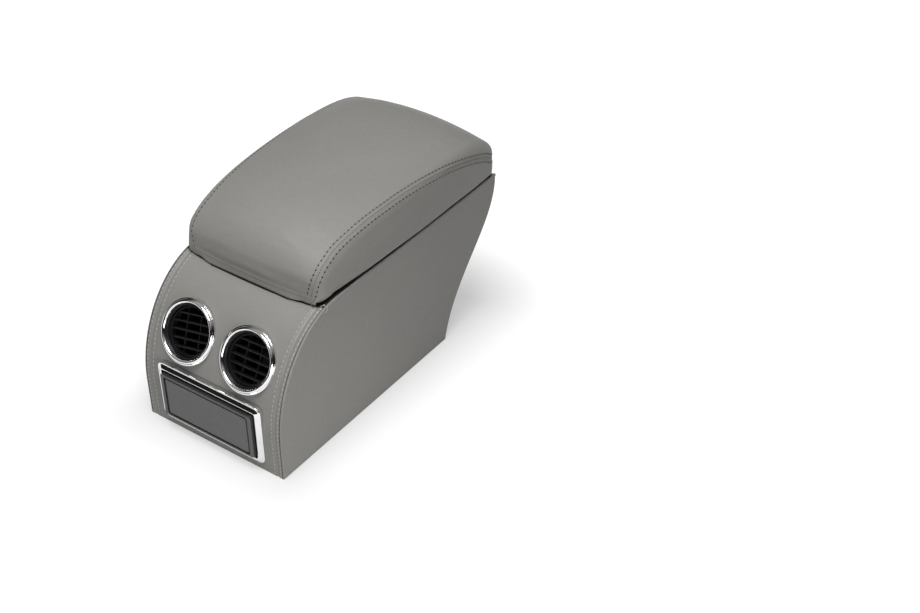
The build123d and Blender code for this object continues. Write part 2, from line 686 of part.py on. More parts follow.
nodes = {
    "floor_panel": floor_panel(),
    "bulkhead": bulkhead(),
    "nose_panel": nose_panel(),
    "nose_cover": nose_cover(),
    "far_panel": far_panel(),
    "far_cover": far_cover(),
    "tray_bezel": tray_bezel(),
    "tray_housing": tray_housing(),
    "tray_drawer": tray_drawer(),
    "tray_face": tray_face(),
    "tray_inlay": tray_inlay(),
    "lid_cushion": lid_cushion(),
    "lid_board": lid_board(),
    "lid_lining": lid_lining(),
    "hinge_box_leaf": hinge_leaf("box"),
    "hinge_lid_leaf": hinge_leaf("lid"),
    "hinge_pin": hinge_pin(),
    "hinge_box_screws": hinge_screws("box"),
    "hinge_lid_screws": hinge_screws("lid"),
}
for side in SIDES:
    nodes[f"side_panel_{side}"] = side_panel(side)
    nodes[f"side_cover_{side}"] = side_cover(side)
    nodes[f"vent_ring_{side}"] = vent_ring(side)
    nodes[f"vent_housing_{side}"] = vent_housing(side)
    nodes[f"vent_rotor_{side}"] = vent_rotor(side)
    nodes[f"vent_louvre_{side}"] = vent_louvre(side)

os.makedirs("parts", exist_ok=True)
for name, part in nodes.items():
    export_step(part, f"parts/{name}.step")
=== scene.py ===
# %% [markdown]
# A car centre armrest: a covered storage box, a padded lid that hinges at the vent end, two round air
# vents and a chrome-framed tray. The solids come from the part's own CAD and stay where they are.
# Blender adds what solids lack: leatherette that is rolled over its edges, a pad that swells between
# its seams, thread, and finishes. Everything is in metres in the CAD's frame, so each piece lies where its
# solid is, and only soft forms were shaped.

# %% Load the frame
import bpy
import bmesh
import json
import math
import numpy as np
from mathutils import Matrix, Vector
from mathutils.bvhtree import BVHTree


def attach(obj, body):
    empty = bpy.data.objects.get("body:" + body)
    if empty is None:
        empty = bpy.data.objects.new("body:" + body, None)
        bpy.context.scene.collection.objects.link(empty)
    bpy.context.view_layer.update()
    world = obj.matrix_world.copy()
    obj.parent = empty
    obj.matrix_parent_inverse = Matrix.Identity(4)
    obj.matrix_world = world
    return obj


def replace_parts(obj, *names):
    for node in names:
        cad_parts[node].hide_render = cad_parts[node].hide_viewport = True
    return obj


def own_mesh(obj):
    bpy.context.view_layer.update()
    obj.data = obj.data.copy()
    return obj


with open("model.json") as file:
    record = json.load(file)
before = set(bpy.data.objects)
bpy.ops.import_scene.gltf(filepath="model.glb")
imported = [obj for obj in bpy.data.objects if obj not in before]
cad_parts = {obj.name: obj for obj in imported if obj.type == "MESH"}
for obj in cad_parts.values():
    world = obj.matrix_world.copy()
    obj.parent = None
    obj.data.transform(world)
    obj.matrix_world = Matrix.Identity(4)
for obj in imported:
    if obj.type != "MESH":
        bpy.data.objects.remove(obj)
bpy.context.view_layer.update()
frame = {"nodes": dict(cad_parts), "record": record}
NODES = frame["nodes"]
SCENE = bpy.context.scene
SCENE.view_settings.view_transform = "Standard"

# %% [markdown]
# The camera comes first, because every later choice is judged through it. Its height, turn and lens
# were found from the straight edges of the box in the picture: a lens of about 59 mm on a 36 mm
# sensor, looking down 37 degrees. No shift is needed.

# %% Camera
CAMERA_PLACE = (0.94004, -1.06865, 1.13408)
LOOK_DOWN = 36.96
LOOK_TURN = 34.97
camera_data = bpy.data.cameras.new("photo_camera")
camera_data.lens = 58.696
camera_data.sensor_width = 36.0
camera_data.clip_start = 0.05
camera = bpy.data.objects.new("photo_camera", camera_data)
camera.location = CAMERA_PLACE
camera.rotation_euler = (math.radians(90 - LOOK_DOWN), 0, math.radians(LOOK_TURN))
SCENE.collection.objects.link(camera)
SCENE.camera = camera
print("camera looks down", LOOK_DOWN, "degrees")

# %% [markdown]
# A plain studio: a pale floor, one large soft lamp overhead, a weak narrow one low at the front right,
# and a room with a dark band round it, so that the chrome has something dark to mirror. The floor could
# be lit until it is white, but then the leather would burn out too. Instead it is paler only for rays
# that come straight from the camera or off a mirror, and it keeps its shadow. Round the part's base it
# is paler by less, which is a painted shadow.


# %% Studio
def grid_faces(rows, columns, close_rows=False, close_columns=False):
    """Quads of a grid of points numbered row by row: each joins a point to the next in its row and column."""
    row = np.arange(rows if close_rows else rows - 1)[:, None]
    column = np.arange(columns if close_columns else columns - 1)[None, :]
    next_row, next_column = (row + 1) % rows, (column + 1) % columns
    corners = [row * columns + column, row * columns + next_column]
    corners += [next_row * columns + next_column, next_row * columns + column]
    return np.stack([c.ravel() for c in corners], 1)


def set_smooth(mesh, smooth=True):
    """Shades all faces of a mesh smooth, or flat."""
    mesh.polygons.foreach_set("use_smooth", np.full(len(mesh.polygons), smooth))


def new_piece(name, points, faces, smooth=True):
    """Object at the origin from an array of points and a list of faces."""
    mesh = bpy.data.meshes.new(name)
    mesh.from_pydata(np.asarray(points).reshape(-1, 3), [], [list(map(int, f)) for f in faces])
    set_smooth(mesh, smooth)
    mesh.update()
    piece = bpy.data.objects.new(name, mesh)
    SCENE.collection.objects.link(piece)
    return piece


def soft_lamp(name, place, aim, size, power, spread=180):
    """Square area lamp at a place, turned towards a point; a smaller spread keeps its light together."""
    data = bpy.data.lights.new(name, "AREA")
    data.size, data.energy, data.spread = size, power, math.radians(spread)
    lamp = bpy.data.objects.new(name, data)
    lamp.location = place
    lamp.rotation_euler = (Vector(aim) - Vector(place)).to_track_quat("-Z", "Y").to_euler()
    SCENE.collection.objects.link(lamp)


def add_node(tree, kind, inputs, **settings):
    """New shader node; each of its inputs is given a value or joined to a socket."""
    node = tree.nodes.new("ShaderNode" + kind)
    for label, value in settings.items():
        setattr(node, label, value)
    for label, value in inputs.items():
        if isinstance(value, bpy.types.NodeSocket):
            tree.links.new(value, node.inputs[label])
        else:
            node.inputs[label].default_value = value
    return node


FLOOR_REACH = 6.0
ROOM_STRENGTH = 0.4
# heights in the room and the tones there, the two ends of the ramp first
ROOM_TONES = ((0.0, 0.8), (0.78, 1.0), (0.06, 0.03), (0.56, 0.05))
corner = np.array([-FLOOR_REACH, FLOOR_REACH])
floor_x, floor_y = np.meshgrid(corner, corner)
floor_points = np.stack([floor_x, floor_y, np.zeros((2, 2))], 2)
floor = new_piece("studio_floor", floor_points, grid_faces(2, 2), smooth=False)
soft_lamp("overhead_lamp", place=(0.25, -0.5, 2.3), aim=(0, 0, 0.1), size=1.2, power=51)
soft_lamp("low_lamp", place=(0.75, -0.6, 0.2), aim=(0.1, -0.22, 0.03), size=0.4, power=0.34, spread=50)

world = bpy.data.worlds.new("studio_world")
SCENE.world = world
world.use_nodes = True
tree = world.node_tree
tree.nodes.clear()
direction = add_node(tree, "TexCoord", {}).outputs["Generated"]
split = add_node(tree, "SeparateXYZ", {0: direction})
room = add_node(tree, "ValToRGB", {0: split.outputs["Z"]})
stops = room.color_ramp.elements
for number, (height, tone) in enumerate(ROOM_TONES):
    stop = stops[number] if number < 2 else stops.new(height)
    stop.position = height
    stop.color = (tone, tone, tone, 1)
dome = add_node(tree, "Background", {"Color": room.outputs["Color"], "Strength": ROOM_STRENGTH})
white = add_node(tree, "Background", {"Color": (1, 1, 1, 1)})
rays = add_node(tree, "LightPath", {}).outputs
seen = add_node(tree, "Math", {0: rays["Is Camera Ray"], 1: rays["Is Transmission Ray"]}, operation="MAXIMUM")
mix = add_node(tree, "MixShader", {0: seen.outputs[0], 1: dome.outputs[0], 2: white.outputs[0]})
add_node(tree, "OutputWorld", {0: mix.outputs[0]})
print("studio set, floor", 2 * FLOOR_REACH, "m across")

# %% [markdown]
# Finishes are built from a few shared effects, each a node group that puts out masks, tones and
# heights. Pebbled grain could be drawn as an image, but cells and noise in the piece's own coordinates
# keep their real size on every piece and need no unwrapping.


# %% Shared shader effects
def new_group(name, inputs, outputs):
    """Empty shader node group with float inputs and outputs, plus a Vector input for the place."""
    group = bpy.data.node_groups.new(name, "ShaderNodeTree")
    group.interface.new_socket("Vector", in_out="INPUT", socket_type="NodeSocketVector")
    for label, value in inputs:
        socket = group.interface.new_socket(label, in_out="INPUT", socket_type="NodeSocketFloat")
        socket.default_value = value
    for label in outputs:
        group.interface.new_socket(label, in_out="OUTPUT", socket_type="NodeSocketFloat")
    return group, group.nodes.new("NodeGroupInput"), group.nodes.new("NodeGroupOutput")


def noise(tree, vector, scale, detail=2.0):
    """Noise on a vector; scale is a number or a socket."""
    inputs = {"Vector": vector, "Scale": scale, "Detail": detail}
    return add_node(tree, "TexNoise", inputs).outputs["Fac"]


def sums(tree, operation, first, second):
    """Math on two sockets or numbers."""
    return add_node(tree, "Math", {0: first, 1: second}, operation=operation).outputs[0]


def spread(tree, value, low, high, to_low=0.0, to_high=1.0):
    """Stretches a band of values to another, clamped at its ends."""
    inputs = {"Value": value, "From Min": low, "From Max": high, "To Min": to_low, "To Max": to_high}
    return add_node(tree, "MapRange", inputs).outputs["Result"]


def pebble_group():
    """Pebbled hide: rounded cells with creases between them and finer wrinkles over both."""
    group, start, end = new_group("pebble_grain", [("Cells", 850.0)], ["Height", "Crease"])
    inputs = {"Vector": start.outputs["Vector"], "Scale": start.outputs["Cells"]}
    cells = add_node(group, "TexVoronoi", inputs, feature="DISTANCE_TO_EDGE")
    crease = spread(group, cells.outputs["Distance"], 0.0, 0.22)
    wrinkle = noise(group, start.outputs["Vector"], 2600.0)
    group.links.new(sums(group, "ADD", crease, sums(group, "MULTIPLY", wrinkle, 0.5)), end.inputs["Height"])
    group.links.new(crease, end.inputs["Crease"])
    return group


def cloudy_group():
    """Soft clouds from 0 to 1, broad ones with finer ones over them."""
    group, start, end = new_group("cloudy_tone", [("Size", 14.0)], ["Tone"])
    broad = noise(group, start.outputs["Vector"], start.outputs["Size"], 3.0)
    group.links.new(spread(group, broad, 0.3, 0.7), end.inputs["Tone"])
    return group


PEBBLE = pebble_group()
CLOUDY = cloudy_group()
print("shared effects:", PEBBLE.name, CLOUDY.name)

# %% [markdown]
# Every finish is one principled shader whose colour, roughness and bump are led by masks. Each of these
# helpers sets up one of the three, so that a finish reads as a short list of what it looks like.


# %% Finish helpers
def surface(tree):
    """Inputs of a material's Principled shader."""
    return tree.nodes["Principled BSDF"].inputs


def new_finish(name, rough, metal=0.0, specular=0.5):
    """Material with a Principled shader whose uniform values are set on its own sockets."""
    finish = bpy.data.materials.new(name)
    finish.use_nodes = True
    tree = finish.node_tree
    for label, value in (("Roughness", rough), ("Metallic", metal), ("Specular IOR Level", specular)):
        surface(tree)[label].default_value = value
    return finish, tree, add_node(tree, "TexCoord", {}).outputs["Object"]


def use_group(tree, group, place, **values):
    """Places a shared effect in a material with its own values."""
    return add_node(tree, "Group", {"Vector": place, **values}, node_tree=group)


def two_tones(tree, mask, first, second):
    """Colour that runs from one tone to another by a mask."""
    inputs = {"A": (*first, 1), "B": (*second, 1), "Factor": mask}
    return add_node(tree, "Mix", inputs, data_type="RGBA").outputs["Result"]


def toned(tree, mask, first, second):
    """Base colour that runs from one tone to another by a mask."""
    tree.links.new(two_tones(tree, mask, first, second), surface(tree)["Base Color"])


def roughened(tree, mask, first, second, start=0.0, end=1.0):
    """Roughness that runs from one value to another while a mask runs from its start to its end."""
    tree.links.new(spread(tree, mask, start, end, first, second), surface(tree)["Roughness"])


def bumped(tree, height, strength, distance):
    """Bump of a height on the shader's normal, over a distance in metres."""
    node = add_node(tree, "Bump", {"Height": height, "Strength": strength, "Distance": distance})
    tree.links.new(node.outputs["Normal"], surface(tree)["Normal"])


def stretched(tree, place, scale):
    """Coordinates scaled by axis: a texture is drawn out along the axis with the smallest scale."""
    return add_node(tree, "Mapping", {"Vector": place, "Scale": scale}).outputs["Vector"]


def grey(value, warm=0.0):
    """Linear grey, with a little blue taken out where it is warm."""
    return (value * (1 + warm / 3), value, value * (1 - warm))


def blackened(finish, black, mask_of):
    """Turns a finish nearly black where a mask, made from the piece's own X, Y and Z, is 1."""
    tree = finish.node_tree
    colour = surface(tree)["Base Color"]
    plain = colour.links[0].from_socket
    place = add_node(tree, "TexCoord", {}).outputs["Object"]
    mask = mask_of(tree, add_node(tree, "SeparateXYZ", {0: place}).outputs)
    tone = two_tones(tree, mask, grey(1.0), grey(black))
    tree.links.new(plain, tone.node.inputs["A"])
    tree.links.new(tone, colour)
    return finish
# %% [markdown]
# Leatherette is a coated cloth: an even warm grey with a pressed pebble grain about a millimetre
# across and a satin sheen. The grain is too fine to model, so it is a bump, and the creases are a
# touch darker and rougher than the tops. Chrome is a mirror with faint smears, the vents are matte
# black moulding, and the tray's front is charcoal with a fine texture.


# %% Finishes
HIDE_TONE = 0.25
WARM = 0.06
# depth in front of which the board is made near black: painted shade behind the vents and under the hinge
PAINTED_SHADE_LIMIT = -0.0745
FACE_RECESS = -0.2093
LID_EDGE = -0.1239
LID_EDGE_HALF = 0.09
LID_EDGE_POWER = 2.7
LID_EDGE_BACK = 0.0065
# black felt's own tone; also the painted shade on the deck under the lid and in the tray's recess
FELT_AND_SHADE_TONE = 0.012
# black paint's own tone; also the painted shade on the board behind the vents
PAINT_AND_SHADE_TONE = 0.008


def leatherette(name, tone):
    """Grey coated cloth with pebble grain."""
    finish, tree, place = new_finish(name, rough=0.5, specular=0.4)
    grain = use_group(tree, PEBBLE, place, Cells=850.0)
    clouds = use_group(tree, CLOUDY, place, Size=16.0)
    patches = spread(tree, clouds.outputs["Tone"], 0.0, 1.0, to_low=0.7)
    mask = sums(tree, "MULTIPLY", patches, grain.outputs["Crease"])
    toned(tree, mask, grey(tone * 0.8, WARM), grey(tone, WARM))
    roughened(tree, grain.outputs["Crease"], 0.6, 0.42)
    swell = sums(tree, "MULTIPLY", noise(tree, place, scale=26.0, detail=1.0), 5.0)
    bumped(tree, sums(tree, "ADD", grain.outputs["Height"], swell), strength=0.5, distance=0.00012)
    return finish


def chrome():
    """Mirror plating with faint smears."""
    finish, tree, place = new_finish("chrome_plate", rough=0.06, metal=1.0)
    smears = use_group(tree, CLOUDY, place, Size=60.0).outputs["Tone"]
    toned(tree, smears, grey(0.72), grey(0.8))
    roughened(tree, smears, 0.04, 0.09)
    return finish


def moulded(name, tone, rough, texture, specular=0.45):
    """Moulded plastic with a fine spark-eroded texture."""
    finish, tree, place = new_finish(name, rough, specular=specular)
    clouds = use_group(tree, CLOUDY, place, Size=90.0).outputs["Tone"]
    toned(tree, clouds, grey(tone * 0.88), grey(tone * 1.08))
    roughened(tree, clouds, rough - 0.05, rough + 0.05)
    bumped(tree, noise(tree, place, texture), strength=0.2, distance=0.00008)
    return finish


def behind_face_shade(tree, axes):
    """Mask that is 1 behind the tray's front face: its sides and the seat of the inlay, which are made near
    black as painted shade.
    """
    return sums(tree, "GREATER_THAN", axes["Y"], FACE_RECESS)


def under_lid_shade(tree, axes):
    """Mask that is 1 under the lid, past the line of its near edge, where the deck is made near black as
    painted shade of the gap under the lid. That line lies further back the further it is from the
    middle, by a power of the distance."""
    aside = sums(tree, "DIVIDE", sums(tree, "ABSOLUTE", axes["X"], 0.0), LID_EDGE_HALF)
    back = sums(tree, "MULTIPLY", sums(tree, "POWER", aside, LID_EDGE_POWER), LID_EDGE_BACK)
    return sums(tree, "GREATER_THAN", sums(tree, "SUBTRACT", axes["Y"], back), LID_EDGE)


def behind_vents_shade(tree, axes):
    """Mask that is 1 in the space behind the vents and under the hinge, where the board is made near black as
    painted shade.
    """
    return sums(tree, "SUBTRACT", 1.0, sums(tree, "GREATER_THAN", axes["Y"], PAINTED_SHADE_LIMIT))


def plywood(name, grain):
    """Pale plywood: noise stretched along the grain for the figure, and fine pores. Behind the vents and
    under the hinge it is made nearly black as painted shade, so that nothing pale shows through them."""
    finish, tree, place = new_finish(name, rough=0.62, specular=0.3)
    drawn_out = stretched(tree, place, grain)
    figure = noise(tree, drawn_out, scale=1.6, detail=6.0)
    pores = noise(tree, drawn_out, scale=14.0)
    mask = spread(tree, sums(tree, "ADD", figure, sums(tree, "MULTIPLY", pores, 0.4)), 0.45, 0.95)
    toned(tree, mask, (0.36, 0.24, 0.13), (0.58, 0.43, 0.27))
    bumped(tree, pores, strength=0.2, distance=0.0002)
    return blackened(finish, PAINT_AND_SHADE_TONE, behind_vents_shade)


def felt():
    """Black felt: short fibres, rough and uneven."""
    finish, tree, place = new_finish("black_felt", rough=0.95, specular=0.15)
    fibres = noise(tree, place, scale=1800.0, detail=4.0)
    toned(tree, spread(tree, fibres, 0.3, 0.7), grey(FELT_AND_SHADE_TONE), grey(0.04))
    bumped(tree, fibres, strength=0.6, distance=0.0004)
    return finish


def painted_steel():
    """Black paint over steel, with the faint orange peel of a dipped coat."""
    finish, tree, place = new_finish("black_paint", rough=0.38)
    peel = noise(tree, place, scale=900.0, detail=1.0)
    toned(tree, peel, grey(PAINT_AND_SHADE_TONE), grey(0.016))
    bumped(tree, peel, strength=0.15, distance=0.00005)
    return finish


def bright_steel():
    """Drawn steel wire, with fine marks along X."""
    finish, tree, place = new_finish("drawn_steel", rough=0.3, metal=1.0)
    marks = noise(tree, stretched(tree, place, (40.0, 2500.0, 2500.0)), scale=1.0)
    toned(tree, marks, grey(0.45), grey(0.58))
    roughened(tree, marks, 0.22, 0.36, start=0.3, end=0.7)
    return finish


def thread(name, tone):
    """Twisted sewing thread."""
    finish, tree, place = new_finish(name, rough=0.7, specular=0.25)
    twist = noise(tree, place, scale=2400.0, detail=1.0)
    toned(tree, twist, grey(tone * 0.7, WARM), grey(tone, WARM))
    bumped(tree, twist, strength=0.5, distance=0.0002)
    return finish


GREY_HIDE = leatherette("grey_leatherette", HIDE_TONE)
# the deck under the lid is made near black: painted shade of the gap under the lid
DECK_HIDE_PAINTED_SHADE = blackened(leatherette("deck_leatherette_painted_shade", HIDE_TONE), FELT_AND_SHADE_TONE, under_lid_shade)
CHROME = chrome()
BLACK_PLASTIC = moulded("black_moulding", tone=0.006, rough=0.42, texture=1500.0)
DUCT_BLACK = moulded("duct_black", tone=0.0015, rough=0.85, texture=700.0, specular=0.08)
CHARCOAL = moulded("charcoal_moulding", tone=0.09, rough=0.5, texture=1800.0)
# the tray's sides and the inlay's seat are made near black: painted shade in the recess
CHARCOAL = blackened(CHARCOAL, FELT_AND_SHADE_TONE, behind_face_shade)
INLAY_GREY = moulded("charcoal_inlay", tone=0.115, rough=0.55, texture=2200.0)
PLYWOOD = plywood("plywood_long", grain=(60.0, 5.0, 60.0))
CROSS_PLYWOOD = plywood("plywood_across", grain=(5.0, 60.0, 60.0))
FELT = felt()
BLACK_PAINT = painted_steel()
DRAWN_STEEL = bright_steel()
PALE_THREAD = thread("pale_thread", tone=0.5)
GREY_THREAD = thread("grey_thread", tone=0.22)
# near black: painted shade of needle holes and creases
HOLE_AND_CREASE_SHADE = thread("hole_and_crease_shade", tone=0.02)
print("finishes:", len(bpy.data.materials))

# %% [markdown]
# Solids whose shape is right already keep it and only get a finish: panels, vents, tray and hinge.

# %% Finishes on the CAD nodes
NODE_FINISHES = {
    "leatherette": GREY_HIDE,
    "board": PLYWOOD,
    "chrome": CHROME,
    "black_plastic": BLACK_PLASTIC,
    "charcoal_plastic": CHARCOAL,
    "lining": FELT,
    "hinge_black": BLACK_PAINT,
    "steel": DRAWN_STEEL,
}
for subpart in frame["record"]["subparts"]:
    mesh = NODES[subpart["node"]].data
    mesh.materials.clear()
    mesh.materials.append(NODE_FINISHES[subpart["material_slot"]])
for node in ("far_panel", "bulkhead"):
    NODES[node].data.materials[0] = CROSS_PLYWOOD
NODES["tray_inlay"].data.materials[0] = INLAY_GREY
for side in ("left", "right"):
    NODES[f"vent_housing_{side}"].data.materials[0] = DUCT_BLACK
print("CAD nodes finished:", len(NODES))

# %% [markdown]
# The leather pieces are surfaces over two parameters: one runs along a side-view line of the box, the
# other across it. Sewing or cloth simulation could wrap the box too, but the panels behind are rigid,
# so a surface that follows them and rolls over at its edges is all there is to see.


# %% Lines and surfaces
MM = 0.001


def read_off(at, run, values):
    """Columns of values that lie along a run, read off at other places along it."""
    return np.stack([np.interp(at, run, values[:, k]) for k in range(values.shape[1])], 1)


def even_steps(points, count):
    """Points at even steps of length along a line of points."""
    steps = np.linalg.norm(np.diff(points, axis=0), axis=1)
    run = np.concatenate([[0], np.cumsum(steps)])
    return read_off(np.linspace(0, run[-1], count), run, points)


def steps_along(line, pitch):
    """How often a pitch goes into the length of a line of points."""
    return int(np.linalg.norm(np.diff(line, axis=0), axis=1).sum() / pitch)


def unit(vectors):
    """Vectors at length one."""
    return vectors / np.linalg.norm(vectors, axis=1, keepdims=True)


def along(points):
    """Unit directions along a line of points."""
    return unit(np.gradient(points, axis=0))


def full_turn(count):
    """Angles at even steps once round."""
    return np.linspace(0, 2 * np.pi, count, endpoint=False)


def roll_off(inward, radius):
    """Drop of a rounded edge: a quarter circle within one radius of the edge, level further in."""
    left = np.clip(radius - inward, 0, radius)
    return radius - np.sqrt(radius**2 - left**2)


def closed_piece(name, points, faces):
    """Piece from points and faces, joined where they meet, with its normals outwards."""
    piece = new_piece(name, points, faces)
    shell = bmesh.new()
    shell.from_mesh(piece.data)
    bmesh.ops.remove_doubles(shell, verts=shell.verts, dist=1e-6)
    bmesh.ops.recalc_face_normals(shell, faces=shell.faces)
    shell.to_mesh(piece.data)
    shell.free()
    set_smooth(piece.data)
    return piece


def closed_ring(name, points):
    """Closed piece from rows of points that join up both along and across."""
    return closed_piece(name, points, grid_faces(*points.shape[:2], close_rows=True, close_columns=True))


def settled(piece):
    """Mesh of a piece with its live modifiers applied; they are then taken off the piece."""
    graph = bpy.context.evaluated_depsgraph_get()
    mesh = bpy.data.meshes.new_from_object(piece.evaluated_get(graph))
    piece.modifiers.clear()
    return mesh


def carried_loop(name, loops):
    """Closed piece from an array of loops of points, one per step: quads join each loop to the next.
    Each loop's second half runs back under its first half, so quads between the halves close the ends."""
    steps, count = loops.shape[:2]
    faces = grid_faces(steps, count, close_columns=True)
    over = np.arange(count // 2 - 1)
    under = count - 1 - over
    end = np.stack([over, over + 1, under - 1, under], 1)
    return closed_piece(name, loops, np.vstack([faces, end, end + (steps - 1) * count]))


def replaced_by(piece, node, body, finish):
    """Puts a piece in the place of a CAD node, riding on its body."""
    piece.data.materials.append(finish)
    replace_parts(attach(piece, body), node)
    print(piece.name, "for", node, "faces", len(piece.data.polygons))


# %% [markdown]
# The strip over the vent end follows an upright, a quarter ellipse and the level deck under the lid.
# It is sewn to a narrow border along each side, so the surface dips at the two seams. The vents and
# the tray pass through holes that are cut out afterwards; the hinge lies in a cut-out in the deck.

# %% Strip over the vent end
HALF_WIDTH = 100 * MM
RIM = 184 * MM
VENT_END = -201 * MM
NOSE_START = 48 * MM
NOSE_DEPTH = 108 * MM
DECK_END = -69 * MM
COVER_T = 2 * MM
STRIP_HALF = HALF_WIDTH - COVER_T
EDGE_ROLL = 1.6 * MM
SEAM_X = 91 * MM
SEAM_DIP = 0.7 * MM
SEAM_SPREAD = 1.4 * MM
STRIP_STEPS = 150
NOSE_STEPS = 130
TRAY_CUT = ((-0.0692, -0.24, 0.0168), (0.0692, -0.16, 0.0812))
HINGE_CUT = ((-0.0553, -0.1233, 0.17), (0.0553, -0.1022, 0.2))


def nose_profile(count):
    """Vent end in side view (Y, Z): upright, quarter ellipse, level deck, at even steps."""
    turn = np.linspace(0, np.pi / 2, 240)
    roll_y = VENT_END + NOSE_DEPTH * (1 - np.cos(turn))
    roll_z = NOSE_START + (RIM - NOSE_START) * np.sin(turn)
    return even_steps(np.vstack([[VENT_END, 0], np.stack([roll_y, roll_z], 1), [DECK_END, RIM]]), count)


def nose_outwards(profile):
    """Outward normals (Y, Z) of the vent end: its direction turned a quarter to the left."""
    way = along(profile)
    return np.stack([-way[:, 1], way[:, 0]], 1)


def strip_loops(profile, outwards, half, seams):
    """Strip carried along a profile: flat across, rolled off at both edges, dipping at the seams;
    its underside lies one thickness below."""
    x = half * np.sin(np.linspace(-np.pi / 2, np.pi / 2, STRIP_STEPS))
    top = -roll_off(half - np.abs(x), EDGE_ROLL)
    for seam in seams:
        top = top - SEAM_DIP * np.exp(-(((np.abs(x) - seam) / SEAM_SPREAD) ** 2))
    across = np.concatenate([x, x[::-1]])
    height = np.concatenate([top, np.full(len(x), -COVER_T)])
    rows = [np.broadcast_to(across, (len(profile), len(across)))]
    for k in (0, 1):
        rows.append(profile[:, k, None] + outwards[:, k, None] * height)
    return np.stack(rows, 2)


def cut_away(piece, cutters):
    """Takes the cutters' shapes out of a piece, then removes the cutters."""
    for cutter in cutters:
        step = piece.modifiers.new("cut", "BOOLEAN")
        step.operation, step.solver, step.object = "DIFFERENCE", "EXACT", cutter
    piece.data = settled(piece)
    for cutter in cutters:
        bpy.data.objects.remove(cutter, do_unlink=True)


def block(name, low, high):
    """Box between two corners."""
    x, y, z = (np.array(pair) for pair in zip(low, high))
    loops = [[[a, b, c] for b, c in ((y[0], z[0]), (y[1], z[0]), (y[1], z[1]), (y[0], z[1]))] for a in x]
    return carried_loop(name, np.array(loops))


VENT_Z = 128 * MM
VENT_SPACING = 86 * MM
VENT_HOLE = 34.3 * MM
VENT_CUT = 20 * MM
VENT_STEPS = 160
VENT_SHARE = (VENT_Z - NOSE_START) / (RIM - NOSE_START)
VENT_LEVEL = math.sqrt(1 - VENT_SHARE**2)
VENT_Y = VENT_END + NOSE_DEPTH * (1 - VENT_LEVEL)
VENT_TILT = math.atan2(VENT_SHARE / (RIM - NOSE_START), VENT_LEVEL / NOSE_DEPTH)
VENT_OUT = np.array([0, -math.cos(VENT_TILT), math.sin(VENT_TILT)])
VENT_UP = np.array([0, math.sin(VENT_TILT), math.cos(VENT_TILT)])
VENT_SIDES = {"left": -1, "right": 1}


def vent_turned(side, radius, height):
    """Points at radii and heights over a vent's middle, turned about its axis: one row per angle."""
    turn = full_turn(VENT_STEPS)[:, None, None]
    centre = np.array([VENT_SIDES[side] * VENT_SPACING / 2, VENT_Y, VENT_Z])
    spoke = np.cos(turn) * np.array([1, 0, 0]) + np.sin(turn) * VENT_UP
    return centre + np.asarray(radius)[..., None] * spoke + np.asarray(height)[..., None] * VENT_OUT


def vent_cutter(side):
    """Round cutter through the cover at a vent."""
    radius = np.array([0, VENT_HOLE, VENT_HOLE, 0])
    points = vent_turned(side, radius, np.array([-1, -1, 1, 1]) * VENT_CUT)
    return closed_piece(f"cutter_{side}", points, grid_faces(*points.shape[:2], close_rows=True))


nose_line = nose_profile(NOSE_STEPS)
strip = carried_loop("nose_strip", strip_loops(nose_line, nose_outwards(nose_line), STRIP_HALF, [SEAM_X]))
cutters = [vent_cutter(side) for side in VENT_SIDES]
cutters += [block("tray_cutter", *TRAY_CUT), block("hinge_cutter", *HINGE_CUT)]
cut_away(strip, cutters)
# under the lid the strip is near black: painted shade of the gap under the lid
replaced_by(strip, "nose_cover", "box", DECK_HIDE_PAINTED_SHADE)

# %% [markdown]
# Each side is one flat piece of leatherette over its board. Its height gives one parameter and the
# share of the way from the vent end to the far end gives the other. Within two millimetres of its
# outline it rolls in to meet the board, and along the rim it is turned in over the board's top. The far
# end is a strip again, carried along an S-shaped line.

# %% Sides and far end
FAR_FOOT = 102 * MM
FAR_RIM = 207 * MM
FAR_LEAN = math.radians(13.2)
FAR_FOOT_PULL = 86.6 * MM
FAR_TOP_PULL = 65.4 * MM
FAR_UPRIGHT = 4 * MM
INNER_HALF = 89 * MM
TURN_IN = 8 * MM
RIM_CURL = 2.5 * MM
SIDE_STEPS = (90, 130)
OUTLINE_STEPS = 900
FAR_STEPS = 150


def far_profile():
    """Far end in side view (Y, Z): a cubic from a leaning foot to an upright head."""
    t = np.linspace(0, 1, 240)[:, None]
    foot = np.array([FAR_FOOT, 0])
    head = np.array([FAR_RIM, RIM - FAR_UPRIGHT])
    foot_pull = foot + FAR_FOOT_PULL * np.array([math.sin(FAR_LEAN), math.cos(FAR_LEAN)])
    head_pull = head - np.array([0, FAR_TOP_PULL])
    lower = (1 - t) ** 3 * foot + 3 * (1 - t) ** 2 * t * foot_pull
    return lower + 3 * (1 - t) * t**2 * head_pull + t**3 * head


def eased(count):
    """Shares from 0 to 1, close together at both ends."""
    return (1 - np.cos(np.linspace(0, np.pi, count))) / 2


def to_line(y, z, line):
    """Distance of every grid point to the nearest point of a line."""
    gaps = np.hypot(y[..., None] - line[:, 0], z[..., None] - line[:, 1])
    return gaps.min(-1)


